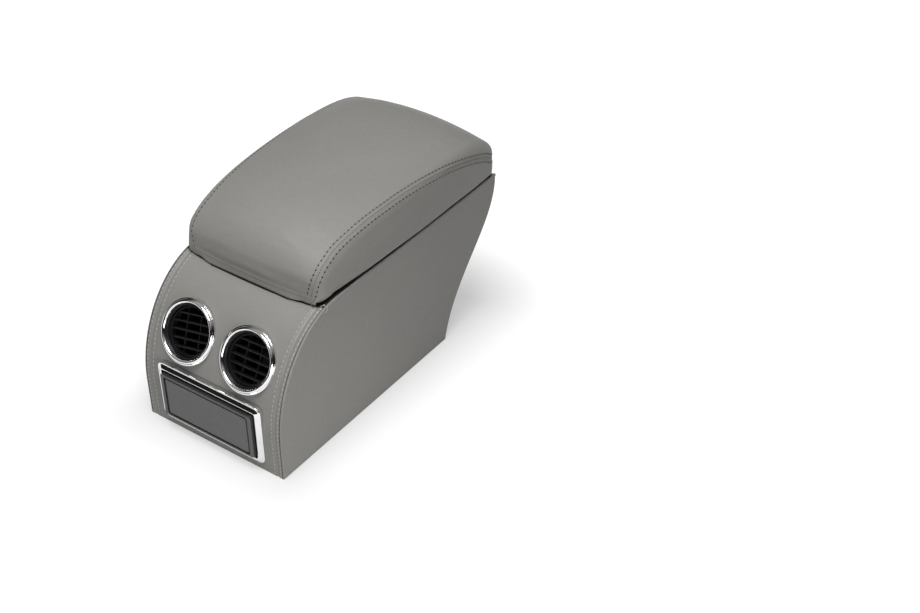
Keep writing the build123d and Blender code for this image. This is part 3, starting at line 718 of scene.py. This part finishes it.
def side_sheet(side):
    """Flat side between the vent end and the far end, rolled in along its outline."""
    z = RIM * eased(SIDE_STEPS[0])[:, None]
    above = np.clip((z - NOSE_START) / (RIM - NOSE_START), 0, 1)
    near = VENT_END + NOSE_DEPTH * (1 - np.sqrt(1 - above**2))
    far_line = far_profile()
    far = np.interp(z, far_line[:, 1], far_line[:, 0])
    y = near + eased(SIDE_STEPS[1])[None, :] * (far - near)
    z = np.broadcast_to(z, y.shape)
    ends = nose_profile(OUTLINE_STEPS), even_steps(far_line, OUTLINE_STEPS)
    inward = np.minimum(*(to_line(y, z, line) for line in ends))
    inward = np.minimum(inward, np.minimum(RIM - z, z))
    inward[[0, -1]] = 0
    inward[:, [0, -1]] = 0
    x = VENT_SIDES[side] * (HALF_WIDTH - roll_off(inward, COVER_T))
    flat = np.full(y.shape, VENT_SIDES[side] * STRIP_HALF)
    points = np.stack([np.stack([face, y, z], 2) for face in (x, flat)])
    faces = grid_faces(*y.shape)
    return closed_piece(f"side_sheet_{side}", points, np.vstack([faces, faces[:, ::-1] + y.size]))


for side in VENT_SIDES:
    replaced_by(side_sheet(side), f"side_cover_{side}", "box", GREY_HIDE)

curl = np.linspace(0, np.pi / 2, 12)
curl_line = np.stack([FAR_RIM - RIM_CURL * (1 - np.cos(curl)), RIM - RIM_CURL * (1 - np.sin(curl))], 1)
far_line = even_steps(np.vstack([far_profile(), curl_line, [FAR_RIM - TURN_IN, RIM]]), FAR_STEPS)
far_way = along(far_line)
far_out = np.stack([far_way[:, 1], -far_way[:, 0]], 1)
far_strip = carried_loop("far_strip", strip_loops(far_line, far_out, STRIP_HALF, []))
replaced_by(far_strip, "far_cover", "box", GREY_HIDE)

TURN_IN_LOW = (INNER_HALF, DECK_END, RIM - COVER_T)
TURN_IN_HIGH = (STRIP_HALF, FAR_RIM - TURN_IN, RIM)
for side, way in VENT_SIDES.items():
    turn_in = block(f"rim_turn_in_{side}", TURN_IN_LOW, TURN_IN_HIGH)
    turn_in.data.transform(((way, 0, 0, 0), (0, 1, 0, 0), (0, 0, 1, 0), (0, 0, 0, 1)))
    if way < 0:
        turn_in.data.flip_normals()
    turn_in.data.materials.append(FELT)
    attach(turn_in, "box")

# %% [markdown]
# The lid's cover is sewn from a top panel and a side band, and their seam runs round the lid in a U. It
# could be cut into the CAD, but a line over the finished pad follows whatever shape the pad takes. A few
# knots give its course on the right side, and the left side mirrors it.

# %% The seam's course over the lid
SEAM_KNOTS = np.array([
    (84, -120, 185), (86, -118.5, 198), (88.5, -115, 211), (89.3, -107, 221),
    (89.7, -96, 228.5), (89.8, -77, 236), (93, -32, 244.3), (96.5, 30, 247),
    (99.5, 76, 245), (101.5, 115, 240), (101.8, 152, 230.5), (101.3, 180, 220),
    (100, 195, 211), (92, 204, 207), (60, 208.5, 205), (0, 210, 205),
]) * MM
SEAM_STEPS = 500


def smooth_line(knots, count):
    """Catmull-Rom line: a cubic between each two knots, whose slope at a knot is half the step between
    that knot's neighbours."""
    wide = np.vstack([2 * knots[0] - knots[1], knots, 2 * knots[-1] - knots[-2]])
    at = np.linspace(0, len(knots) - 1, count)
    span = np.minimum(at.astype(int), len(knots) - 2)
    t = (at - span)[:, None]
    a, b, c, d = (wide[span + k] for k in range(4))
    return b + (c - a) * t / 2 + (a - 2.5 * b + 2 * c - d / 2) * t**2 + (1.5 * (b - c) + (d - a) / 2) * t**3


def skin_of(piece):
    """Search tree over a piece's faces."""
    return BVHTree.FromObject(piece, bpy.context.evaluated_depsgraph_get())


def nearest(skin, points):
    """Closest points of a skin, and the normals there."""
    found = [skin.find_nearest(Vector(p)) for p in points]
    return np.array([f[0] for f in found]), np.array([f[1] for f in found])


def evened(values, width):
    """Running mean along a line, with its ends held."""
    padded = np.pad(values, ((width, width), (0, 0)), mode="edge")
    kernel = np.ones(2 * width + 1) / (2 * width + 1)
    return np.stack([np.convolve(padded[:, k], kernel, "valid") for k in range(values.shape[1])], 1)


def seam_path():
    """Seam in space: a smooth line through the knots on the right, then the same mirrored on the left."""
    half = smooth_line(SEAM_KNOTS, 400)
    line = np.vstack([half, half[::-1][1:] * np.array([-1, 1, 1])])
    return even_steps(line, SEAM_STEPS)


def laid_on(skin, line):
    """A line moved onto a skin and evened, and the skin's evened normals there."""
    places, normals = nearest(skin, line)
    return evened(places, 2), unit(evened(normals, 6))


# %% [markdown]
# The lid is foam under leatherette. The pad starts as the CAD cushion, a little smaller and evenly
# meshed, and pressure pushes its skin out while the underside and the seam are held, so it swells on both
# sides of the seam as a stuffed cover does. Its movement is capped, so the lid stays near its CAD size.

# %% Lid pad
PAD_VOXEL = 4 * MM
PAD_SHRINK = 0.5 * MM
PAD_CAP = 3.2 * MM
PAD_GIVE = 0.5 * MM
PAD_FRAMES = 20
PAD_MIDDLE = 45 * MM
FACING_DOWN = -0.3
HEM_TOP = 186.5 * MM
HOLLOW_TOP = 197 * MM
SEAM_HOLD = 3.2 * MM
SEAM_SINK = 0.9 * MM
SEAM_WIDTH = 2.6 * MM
NEAR_DROP = 0.4 * MM
NEAR_PUSH = 0.1 * MM
NEAR_DROP_START = -104 * MM
LID_NEAR = -124 * MM
LID_FLOOR = 184.5 * MM
HEM_FADE = 22 * MM
HEM_LIFT = 1.1 * MM
HEM_WAVE = 105 * MM
HEM_WAVE_SHARE = 0.35
HEM_SIDE = HALF_WIDTH - 12 * MM
HEM_SIDE_FADE = 8 * MM
HEM_TUCK = 1.8 * MM
HEM_TUCK_FADE = 10 * MM
CORNER_PUSH = (4.5 * MM, 2.5 * MM)
CORNER_START = (-95 * MM, 70 * MM)
CORNER_FADE = (20 * MM, 15 * MM, 36 * MM)


def corners_of(mesh):
    """Vertex places and normals of a mesh as two arrays."""
    places, normals = np.empty((2, len(mesh.vertices) * 3), np.float32)
    mesh.vertices.foreach_get("co", places)
    mesh.vertex_normals.foreach_get("vector", normals)
    return places.reshape(-1, 3).astype(float), normals.reshape(-1, 3).astype(float)


def put_corners(mesh, places):
    """Writes vertex places back into a mesh."""
    mesh.vertices.foreach_set("co", places.astype(np.float32).ravel())
    mesh.update()


def gap_to(places, line):
    """Distance of every place to the nearest point of a line, in slices to save memory."""
    slices = np.array_split(places, len(places) // 4000 + 1)
    return np.concatenate([np.linalg.norm(s[:, None] - line[None], axis=2).min(1) for s in slices])


def start_pad():
    """Even mesh of the CAD cushion."""
    shell = bmesh.new()
    shell.from_mesh(NODES["lid_cushion"].data)
    bmesh.ops.remove_doubles(shell, verts=shell.verts, dist=1e-6)
    mesh = bpy.data.meshes.new("lid_pad")
    shell.to_mesh(mesh)
    shell.free()
    piece = bpy.data.objects.new("lid_pad", mesh)
    SCENE.collection.objects.link(piece)
    even = piece.modifiers.new("even_mesh", "REMESH")
    even.mode, even.voxel_size = "VOXEL", PAD_VOXEL
    piece.data = settled(piece)
    return piece


def held_part(places, normals):
    """True where the skin is fixed: the underside, and the hollow that sits on the board."""
    from_middle = places - np.array([0, PAD_MIDDLE, 0])
    facing_in = (normals[:, :2] * from_middle[:, :2]).sum(1) < 0
    hollow = (places[:, 2] < HOLLOW_TOP) & (facing_in | (normals[:, 2] < FACING_DOWN))
    return hollow | (places[:, 2] < HEM_TOP)


def hang(places):
    """Lets the hem hang: low over the vent end, where the deck falls away, lifted in slow waves and tucked
    in along the sides, and pushed out at the two near corners. All of it fades out upwards."""
    x, y, z = places.T
    low = np.clip(1 - (z - LID_FLOOR) / HEM_FADE, 0, 1) ** 2
    near = np.clip((NEAR_DROP_START - y) / (NEAR_DROP_START - LID_NEAR), 0, 1) ** 1.5
    beside = np.clip((np.abs(x) - HEM_SIDE) / HEM_SIDE_FADE, 0, 1)
    wave = 1 - HEM_WAVE_SHARE + HEM_WAVE_SHARE * np.sin(2 * np.pi * y / HEM_WAVE + np.sign(x))
    rise = HEM_LIFT * beside * wave - NEAR_DROP * near
    tuck = HEM_TUCK * beside * np.clip(1 - (z - LID_FLOOR) / HEM_TUCK_FADE, 0, 1) ** 1.5
    corner = np.clip((CORNER_START[0] - y) / CORNER_FADE[0], 0, 1)
    corner = corner * np.clip(1 - (z - LID_FLOOR) / CORNER_FADE[2], 0, 1)
    corner = corner * np.clip((np.abs(x) - CORNER_START[1]) / CORNER_FADE[1], 0, 1)
    out = np.sign(x) * (CORNER_PUSH[0] * corner - tuck)
    return np.stack([x + out, y - NEAR_PUSH * low * near - CORNER_PUSH[1] * corner, z + low * rise], 1)


def finished(piece, places):
    """Mesh of a piece with its vertices at given places, eased and subdivided once."""
    put_corners(piece.data, places)
    ease = piece.modifiers.new("ease", "SMOOTH")
    ease.factor, ease.iterations = 0.5, 3
    finer = piece.modifiers.new("finer", "SUBSURF")
    finer.levels = finer.render_levels = 1
    return settled(piece)


def swell(piece, held, frames):
    """Lets pressure push out the free part of a skin for a number of frames."""
    group = piece.vertex_groups.new(name="held")
    group.add(np.flatnonzero(held).tolist(), 1.0, "REPLACE")
    cloth = piece.modifiers.new("swell", "CLOTH")
    cloth.settings.vertex_group_mass = "held"
    cloth.settings.mass = 0.001
    cloth.settings.tension_stiffness = 0.3
    cloth.settings.compression_stiffness = 0.3
    cloth.settings.bending_stiffness = 0.05
    cloth.settings.use_pressure = True
    cloth.settings.uniform_pressure_force = 4
    cloth.settings.effector_weights.gravity = 0
    cloth.point_cache.frame_start, cloth.point_cache.frame_end = 1, frames
    for number in range(1, frames + 1):
        SCENE.frame_set(number)
    piece.data = settled(piece)
    SCENE.frame_set(1)


pad = start_pad()
full, outward = corners_of(pad.data)
held = held_part(full, outward)
seam_start, _ = nearest(skin_of(pad), seam_path())
smaller = full - outward * np.where(held, 0, PAD_SHRINK)[:, None]
put_corners(pad.data, smaller)
swell(pad, held | (gap_to(full, seam_start) < SEAM_HOLD), PAD_FRAMES)
swollen, _ = corners_of(pad.data)
step = swollen - smaller
length = np.linalg.norm(step, axis=1, keepdims=True)
step = step * np.minimum(1, PAD_CAP / np.maximum(length, 1e-9))
rise = (step * outward).sum(1)
step = step + outward * np.maximum(-PAD_GIVE - rise, 0)[:, None]
print("pad swelled by", np.round(length[~held].mean() / MM, 2), "mm on average")

plain, _ = corners_of(finished(pad, full))
on_cushion, _ = nearest(skin_of(NODES["lid_cushion"]), plain)
pad.data = finished(pad, smaller + step)
eased_places, _ = corners_of(pad.data)
put_corners(pad.data, hang(eased_places + on_cushion - plain))
set_smooth(pad.data)
lost = np.linalg.norm(on_cushion - plain, axis=1).max()
print("easing had taken off up to", np.round(lost / MM, 1), "mm; put back")
pad_skin = skin_of(pad)
seam, seam_up = laid_on(pad_skin, seam_path())
places, outward = corners_of(pad.data)
sink = SEAM_SINK * np.exp(-((gap_to(places, seam) / SEAM_WIDTH) ** 2))
put_corners(pad.data, places - outward * sink[:, None])
replaced_by(pad, "lid_cushion", "lid", GREY_HIDE)

# %% [markdown]
# In front of the hinge the leatherette hangs a little below the board, as a thin flap that hides the
# knuckles. It follows the pad's near face: each point's depth is read from the pad at its height, held
# at the hem's depth below it, and drawn forward in the middle, clear of the knuckles.

# %% Flap over the hinge
FLAP_HALF = 90 * MM
FLAP_TOP = 196 * MM
FLAP_GAP = 2.5 * MM
FLAP_END_GAP = 0.8 * MM
FLAP_FRONT = -123.7 * MM
FLAP_STRAIGHT = 55 * MM
FLAP_BEND = 22 * MM
FLAP_READ = 188.5 * MM
FLAP_PROUD = 0.25 * MM
FLAP_T = 1.0 * MM
FLAP_TUCK = 0.9 * MM
FLAP_STEPS = (130, 15)
FLAP_EDGE_SHARE = 0.08
FLAP_TUCK_SHARE = 0.35
RAY_START = 0.4


def deck_height(y):
    """Height of the cover over the vent end at a depth: the ellipse of its side view."""
    share = np.clip(1 - (y - VENT_END) / NOSE_DEPTH, 0, 1)
    return NOSE_START + (RIM - NOSE_START) * np.sqrt(1 - share**2)


def near_face(skin, x, z):
    """Depths where rays along Y first meet a skin, for arrays of X and Z."""
    starts = np.stack([x, np.full(x.shape, -RAY_START), z], -1).reshape(-1, 3)
    return np.array([skin.ray_cast(Vector(s), Vector((0, 1, 0)))[0].y for s in starts]).reshape(x.shape)


skin = skin_of(pad)
flap_x = np.linspace(-FLAP_HALF, FLAP_HALF, FLAP_STEPS[0])[:, None]
flap_share = np.linspace(0, 1, FLAP_STEPS[1])[None, :]
hem_y = near_face(skin, flap_x, np.full(flap_x.shape, FLAP_READ))
bend = np.clip((np.abs(flap_x) - FLAP_STRAIGHT) / FLAP_BEND, 0, 1)
forward = np.clip(hem_y - FLAP_FRONT, 0, None) * (1 - bend) ** 2 * (1 + 2 * bend)
flap_foot = deck_height(hem_y - forward) + FLAP_GAP + FLAP_END_GAP * (flap_x / FLAP_HALF) ** 4
flap_z = FLAP_TOP + flap_share * (flap_foot - FLAP_TOP)
wide_x = np.broadcast_to(flap_x, flap_z.shape)
edge = np.clip((1 - flap_share) / FLAP_EDGE_SHARE, 0, 1) ** 0.5
tuck = np.clip(1 - flap_share / FLAP_TUCK_SHARE, 0, 1)
flap_y = near_face(skin, wide_x, np.maximum(flap_z, FLAP_READ)) - forward * flap_share**1.5
flap_y = flap_y - FLAP_PROUD + (FLAP_PROUD + FLAP_TUCK) * tuck + FLAP_T / 2 * (1 - edge)
outer = np.stack([wide_x, flap_y, flap_z], 2)
inner = outer + np.stack([0 * edge, FLAP_T * edge, 0 * edge], 2)
flap = carried_loop("hinge_flap", np.concatenate([outer, inner[:, ::-1]], 1))
flap.data.materials.append(GREY_HIDE)
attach(flap, "lid")
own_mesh(flap)
print("flap foot", round(float(flap_z.min()) / MM, 1), "mm")

# %% [markdown]
# Where two panels are sewn together, both edges are folded under and meet in a crease, and each fold is
# held down by a row of stitches a few millimetres away. The crease is a small section carried along the
# seam; every stitch is the same rounded bar, put down at even steps with one array sum. Near-black bars
# between the stitches and along the crease are painted shade of the needle holes and the crease.

# %% Seam and stitches of the lid
FOLD_SECTION = np.array([
    (-2.6, -1.1), (-1.9, -0.25), (-1.1, -0.05), (-0.5, -0.15), (0.0, -0.8),
    (0.5, -0.15), (1.1, -0.05), (1.9, -0.25), (2.6, -1.1),
]) * MM
FOLD_UNDER = -1.6 * MM
STITCH_PITCH = 5.8 * MM
STITCH_ROW = 5 * MM
LID_STITCH = np.array([1.9, 0.5, 0.35]) * MM
LID_HOLE_SHADE = np.array([1.15, 0.95, 0.2]) * MM
CREASE_PITCH = 3.1 * MM
CREASE_SINK = 0.5 * MM
CREASE_SHADE_DOT = np.array([0.8, 0.45, 0.2]) * MM


def bar_shape(around, rings):
    """Rounded bar of unit half sizes: points of a sphere on rings between two poles, with its faces."""
    polar = np.linspace(0, np.pi, rings + 2)[1:-1, None]
    turn = full_turn(around)[None, :]
    ring = [np.cos(polar) + 0 * turn, np.sin(polar) * np.cos(turn), np.sin(polar) * np.sin(turn)]
    points = np.vstack([np.stack(ring, 2).reshape(-1, 3), [[1, 0, 0], [-1, 0, 0]]])
    number = np.arange(around)
    after = (number + 1) % around
    start, end = around * rings, around * rings + 1
    last = around * (rings - 1)
    fans = [[start, b, a] for a, b in zip(number, after)]
    fans += [[end, last + a, last + b] for a, b in zip(number, after)]
    return points, grid_faces(rings, around, close_columns=True).tolist() + fans


def many_bars(name, places, ways, ups, size):
    """One mesh of equal bars: each point is a place plus the bar's own coordinates along its three axes."""
    shape, faces = bar_shape(6, 3)
    shape = shape * size
    sides = np.cross(ups, ways)
    points = places[:, None] + shape[None, :, :1] * ways[:, None] + shape[None, :, 1:2] * sides[:, None]
    points = points + shape[None, :, 2:] * ups[:, None]
    all_faces = [[v + number * len(shape) for v in face] for number in range(len(places)) for face in faces]
    return closed_piece(name, points, all_faces)


seam_way = along(seam)
seam_side = unit(np.cross(seam_way, seam_up))
fold_back = np.stack([FOLD_SECTION[::-1, 0], np.full(len(FOLD_SECTION), FOLD_UNDER)], 1)
section = np.vstack([FOLD_SECTION, fold_back])
folds = seam[:, None] + seam_side[:, None] * section[None, :, :1] + seam_up[:, None] * section[None, :, 1:]
fold_piece = carried_loop("lid_seam", folds)
fold_piece.data.materials.append(GREY_HIDE)
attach(fold_piece, "lid")

rows = []
for way in (-1, 1):
    line, _ = nearest(pad_skin, seam + way * STITCH_ROW * seam_side)
    line = even_steps(line, 2 * steps_along(line, STITCH_PITCH))
    on_skin, ups = nearest(pad_skin, line)
    rows.append((on_skin, unit(evened(ups, 3))))
row_places = np.vstack([r[0] for r in rows])
row_ways = np.vstack([along(r[0]) for r in rows])
row_ups = np.vstack([r[1] for r in rows])
row_ways = unit(row_ways - row_ups * (row_ways * row_ups).sum(1, keepdims=True))
lid_thread = many_bars("lid_thread", row_places[::2], row_ways[::2], row_ups[::2], LID_STITCH)
lid_thread.data.materials.append(GREY_THREAD)
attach(lid_thread, "lid")
# near-black bars between the stitches: painted shade of the needle holes
hole_shades = many_bars("lid_hole_shades", row_places[1::2], row_ways[1::2], row_ups[1::2], LID_HOLE_SHADE)
hole_shades.data.materials.append(HOLE_AND_CREASE_SHADE)
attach(hole_shades, "lid")
print("lid stitches", len(row_places) // 2)

# near-black dots sunk along the crease: painted shade in the seam
pick = np.linspace(0, len(seam) - 1, steps_along(seam, CREASE_PITCH))
dots, dot_ups = (read_off(pick, np.arange(len(seam)), values) for values in (seam, seam_up))
seam_shade_dots = many_bars("lid_seam_shade_dots", dots - CREASE_SINK * dot_ups, along(dots), unit(dot_ups), CREASE_SHADE_DOT)
seam_shade_dots.data.materials.append(HOLE_AND_CREASE_SHADE)
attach(seam_shade_dots, "lid")

# %% [markdown]
# The strip over the vent end is sewn the same way, with paler thread in two rows beside each seam. At its
# outer edges it meets the sides in a crease, whose shade is painted as a thin near-black tube sunk
# between the two.

# %% Stitches of the vent end
NOSE_ROWS = (86.5 * MM, 95.2 * MM)
NOSE_PITCH = 5.5 * MM
NOSE_STITCH = np.array([1.9, 0.5, 0.4]) * MM
NOSE_STITCH_FOOT = 4 * MM
NOSE_STITCH_END = -112 * MM
line = nose_profile(2000)
line = line[(line[:, 1] > NOSE_STITCH_FOOT) & (line[:, 0] < NOSE_STITCH_END)]
line = even_steps(line, steps_along(line, NOSE_PITCH))
way, out = along(line), nose_outwards(line)
flat = np.zeros((len(line), 1))
row_x = [side * x for side in (-1, 1) for x in NOSE_ROWS]
places = np.vstack([np.hstack([flat + x, line]) for x in row_x])
ways = np.vstack([np.hstack([flat, way])] * len(row_x))
outs = np.vstack([np.hstack([flat, out])] * len(row_x))
nose_thread = many_bars("nose_thread", places, ways, outs, NOSE_STITCH)
nose_thread.data.materials.append(PALE_THREAD)
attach(nose_thread, "box")
print("vent end stitches", len(places))

CREASE_DEPTH = 0.4 * MM
CREASE_INSET = 0.45 * MM
CREASE_R = 0.5 * MM


def tube(name, line, radius, around=8):
    """Round tube along a line: a circle across each step, in the plane of the step's side and up vectors."""
    way = along(line)
    side = unit(np.cross(way, np.where(np.abs(way[:, :1]) < 0.9, [[1.0, 0, 0]], [[0, 0, 1.0]])))
    up = np.cross(side, way)
    turn = full_turn(around)[None, :, None]
    loops = line[:, None] + radius * (np.cos(turn) * side[:, None] + np.sin(turn) * up[:, None])
    return carried_loop(name, loops)


crease_line = nose_profile(260)
crease_line = (crease_line - CREASE_DEPTH * nose_outwards(crease_line))[crease_line[:, 0] < NOSE_STITCH_END]
# near-black tube: painted shade of the crease between strip and side
for side, way in VENT_SIDES.items():
    line = np.hstack([np.full((len(crease_line), 1), way * (STRIP_HALF - CREASE_INSET)), crease_line])
    crease = tube(f"edge_crease_shade_{side}", line, CREASE_R)
    crease.data.materials.append(HOLE_AND_CREASE_SHADE)
    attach(crease, "box")

# %% [markdown]
# At the near right corner two ends of thread were left long. Each is a thin tube along a smooth line.

# %% Thread ends
THREAD_R = 0.32 * MM
LOOP_KNOTS = np.array([
    (93.3, -115.9, 181.2), (95.6, -113.4, 182.4), (99.2, -113.4, 182.3),
    (100.9, -112.6, 179.8), (100.9, -114.4, 177.5), (100.6, -117.0, 177.4),
]) * MM
TAIL_KNOTS = np.array([
    (93.2, -116.9, 191.8), (91.6, -118.9, 190.2), (88.6, -120.9, 186.8), (83.4, -119.0, 181.0),
]) * MM
for name, knots, body in (("thread_loop", LOOP_KNOTS, "box"), ("thread_tail", TAIL_KNOTS, "lid")):
    end = tube(name, smooth_line(knots, 40), THREAD_R, around=6)
    end.data.materials.append(PALE_THREAD)
    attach(end, body)
print("thread ends", 2)

# %% [markdown]
# The chrome rings are turned shapes: a round front, a thin flange at the outer edge, and a skirt that
# runs down to the curved cover. The profile is turned about the vent's axis, and the skirt's last row
# is set to the depth of the ellipse below it.

# %% Vent rings
RING_PROFILE = [(31.0, 0.3), (31.0, 1.9), (31.25, 2.6)]
RING_FLANGE = [(36.35, 1.75), (36.6, 1.55), (37.2, 1.5), (37.42, 1.4), (37.5, 1.15)]
DOME_RISE = 2.45
DOME_POWER = 0.8
RING_BACK = 34.1 * MM
SKIRT_SINK = 1.0 * MM
COVER_STEPS = 4000
COVER_REACH = 60 * MM


def cover_depth(up):
    """Height of the cover over the vent's tangent plane at a distance up that plane."""
    line = np.insert(nose_profile(COVER_STEPS), 0, 0, axis=1) - np.array([0, VENT_Y, VENT_Z])
    near = np.linalg.norm(line, axis=1) < COVER_REACH
    return np.interp(up, line[near] @ VENT_UP, line[near] @ VENT_OUT)


def vent_ring(side):
    """Turned ring: lip, dome and flange by radius and height, then a skirt down into the cover. The dome
    is a straight run from lip to flange plus a power of a half sine."""
    share = np.linspace(0, 1, 18)[1:-1, None]
    start, end = np.array(RING_PROFILE[-1]), np.array(RING_FLANGE[0])
    dome = start + share * (end - start)
    dome[:, 1:] += DOME_RISE * np.sin(np.pi * share) ** DOME_POWER
    front = np.vstack([RING_PROFILE, dome, RING_FLANGE]) * MM
    turn = full_turn(VENT_STEPS)[:, None]
    radius = np.broadcast_to(front[:, 0], (len(turn), len(front)))
    height = np.broadcast_to(front[:, 1], radius.shape)
    outer = front[-1, 0]
    skirt = cover_depth(outer * np.sin(turn)) - SKIRT_SINK
    radius = np.hstack([radius, np.full(skirt.shape, outer), np.full(skirt.shape, RING_BACK)])
    height = np.hstack([height, skirt, skirt])
    return closed_ring(f"chrome_ring_{side}", vent_turned(side, radius, height))


for side in VENT_SIDES:
    replaced_by(vent_ring(side), f"vent_ring_{side}", "box", CHROME)

# %% [markdown]
# The tray's frame is a plated moulding whose front slopes outwards from a rounded inner lip, so its
# section is a thin rim, a gentle curve and a quarter ellipse, carried round a rectangle with round
# corners. The inlay is a thin plate with softened edges in the tray's front; the seat behind it is
# made near black as painted shade, so the gap round it shows as a dark line.

# %% Tray frame and inlay
BEZEL_HALF = np.array([75, 39]) * MM
BEZEL_MIDDLE = 49 * MM
BEZEL_BAR = 8 * MM
BEZEL_CORNER = 9 * MM
BEZEL_SEAT = (3 * MM, 6 * MM)
BEZEL_STEPS = 240
FRAME_RIM = [(0.0, 0.0), (0.0, 1.5), (0.1, 1.85), (0.35, 2.0), (1.3, 2.03)]
SLOPE_START = (1.5, 2.1)
SLOPE_RUN = (4.3, 2.9)
SLOPE_BOW = 0.25
LIP_RUN = (2.2, 1.6)
INLAY_HALF = np.array([58.7, 24.2]) * MM
INLAY_CORNER = 2.4 * MM
INLAY_FRONT = -209.6 * MM
INLAY_BACK = -208.5 * MM
INLAY_ROLL = 0.6 * MM
INLAY_STEPS = 120
SHARPEST = 0.05 * MM


def round_rectangle(half, corner, inset, count):
    """Outline (X, Z) of a rectangle with round corners: at each step a corner's middle plus a radius
    that turns once round; insets shrink the radius and then the rectangle."""
    turn = full_turn(count)
    radius = np.maximum(corner - inset, SHARPEST)
    middle = half - inset - radius
    quarter = np.floor(turn / (np.pi / 2)).astype(int) % 4
    way_x = np.array([1, -1, -1, 1])[quarter]
    way_z = np.array([1, 1, -1, -1])[quarter]
    x = way_x * middle[0] + radius * np.cos(turn)
    z = way_z * middle[1] + radius * np.sin(turn)
    return np.stack([x, z], 1)


def outlines(half, corner, section, count):
    """Loops of points round the tray's middle, one for each inset and Y of a section."""
    loops = []
    for inset, y in section:
        x, z = round_rectangle(half, corner, inset, count).T
        loops.append(np.stack([x, np.full(count, y), z + BEZEL_MIDDLE], 1))
    return np.array(loops)


share = np.linspace(0, 1, 14)
bowed = (1 + SLOPE_BOW) * share - SLOPE_BOW * share**2
slope = np.stack([SLOPE_START[0] + SLOPE_RUN[0] * share, SLOPE_START[1] + SLOPE_RUN[1] * bowed], 1)
turn = np.linspace(0, np.pi / 2, 8)[1:]
lip = slope[-1] + np.stack([LIP_RUN[0] * np.sin(turn), -LIP_RUN[1] * (1 - np.cos(turn))], 1)
front = np.vstack([FRAME_RIM, slope, lip]) * MM
seat = [(BEZEL_BAR, VENT_END + BEZEL_SEAT[0]), (0.0, VENT_END + BEZEL_SEAT[1])]
section = [*zip(front[:, 0], VENT_END - front[:, 1]), *seat]
bezel = closed_ring("tray_frame", outlines(BEZEL_HALF, BEZEL_CORNER, section, BEZEL_STEPS))
replaced_by(bezel, "tray_bezel", "box", CHROME)

roll = np.linspace(0, np.pi / 2, 6)
section = [(INLAY_ROLL * (1 - np.cos(a)), INLAY_FRONT + INLAY_ROLL * (1 - np.sin(a))) for a in roll]
points = outlines(INLAY_HALF, INLAY_CORNER, [(0.0, INLAY_BACK), *section], INLAY_STEPS)
rings, around = points.shape[:2]
faces = grid_faces(rings, around, close_columns=True).tolist()
faces += [list(range(around)), list(range((rings - 1) * around, rings * around))]
replaced_by(closed_piece("inlay_plate", points, faces), "tray_inlay", "tray", INLAY_GREY)

# %% [markdown]
# The floor is seamless paper. The lamps find it a mid grey, so that it throws little light back at the
# part. A camera or mirror ray sees it lifted towards white, the more the further it is from the part's
# footprint: the smaller lift near the footprint is a painted shadow round the part's base.

# %% Floor finish
FLOOR_TONE = (0.5, 0.3)
# lift that is smaller near the part's footprint: a painted shadow round its base
PAINTED_SHADOW_LIFT = (0.0, 0.1, 0.48, 0.78)
FAR_LIFT = (0.1, 1.4, 0.0, 0.3)
FOOTPRINT = (0.09, 0.19, 0.0)
finish, tree, place = new_finish("studio_paper", rough=0.9, specular=0.1)
rays = add_node(tree, "LightPath", {}).outputs
seen = sums(tree, "MAXIMUM", rays["Is Camera Ray"], rays["Is Glossy Ray"])
seen = sums(tree, "MAXIMUM", seen, rays["Is Transmission Ray"])
away = place
for operation, by in (("ABSOLUTE", (0, 0, 0)), ("SUBTRACT", FOOTPRINT), ("MAXIMUM", (0, 0, 0))):
    away = add_node(tree, "VectorMath", {0: away, 1: by}, operation=operation).outputs["Vector"]
away = add_node(tree, "VectorMath", {0: away}, operation="LENGTH").outputs["Value"]
lift = sums(tree, "ADD", spread(tree, away, *PAINTED_SHADOW_LIFT), spread(tree, away, *FAR_LIFT))
lift = sums(tree, "MULTIPLY", lift, seen)
tree.links.new(two_tones(tree, lift, grey(0.0), grey(1.0)), surface(tree)["Emission Color"])
surface(tree)["Emission Strength"].default_value = 1.0
toned(tree, seen, grey(FLOOR_TONE[0]), grey(FLOOR_TONE[1]))
floor.data.materials.append(finish)
print("floor finished")
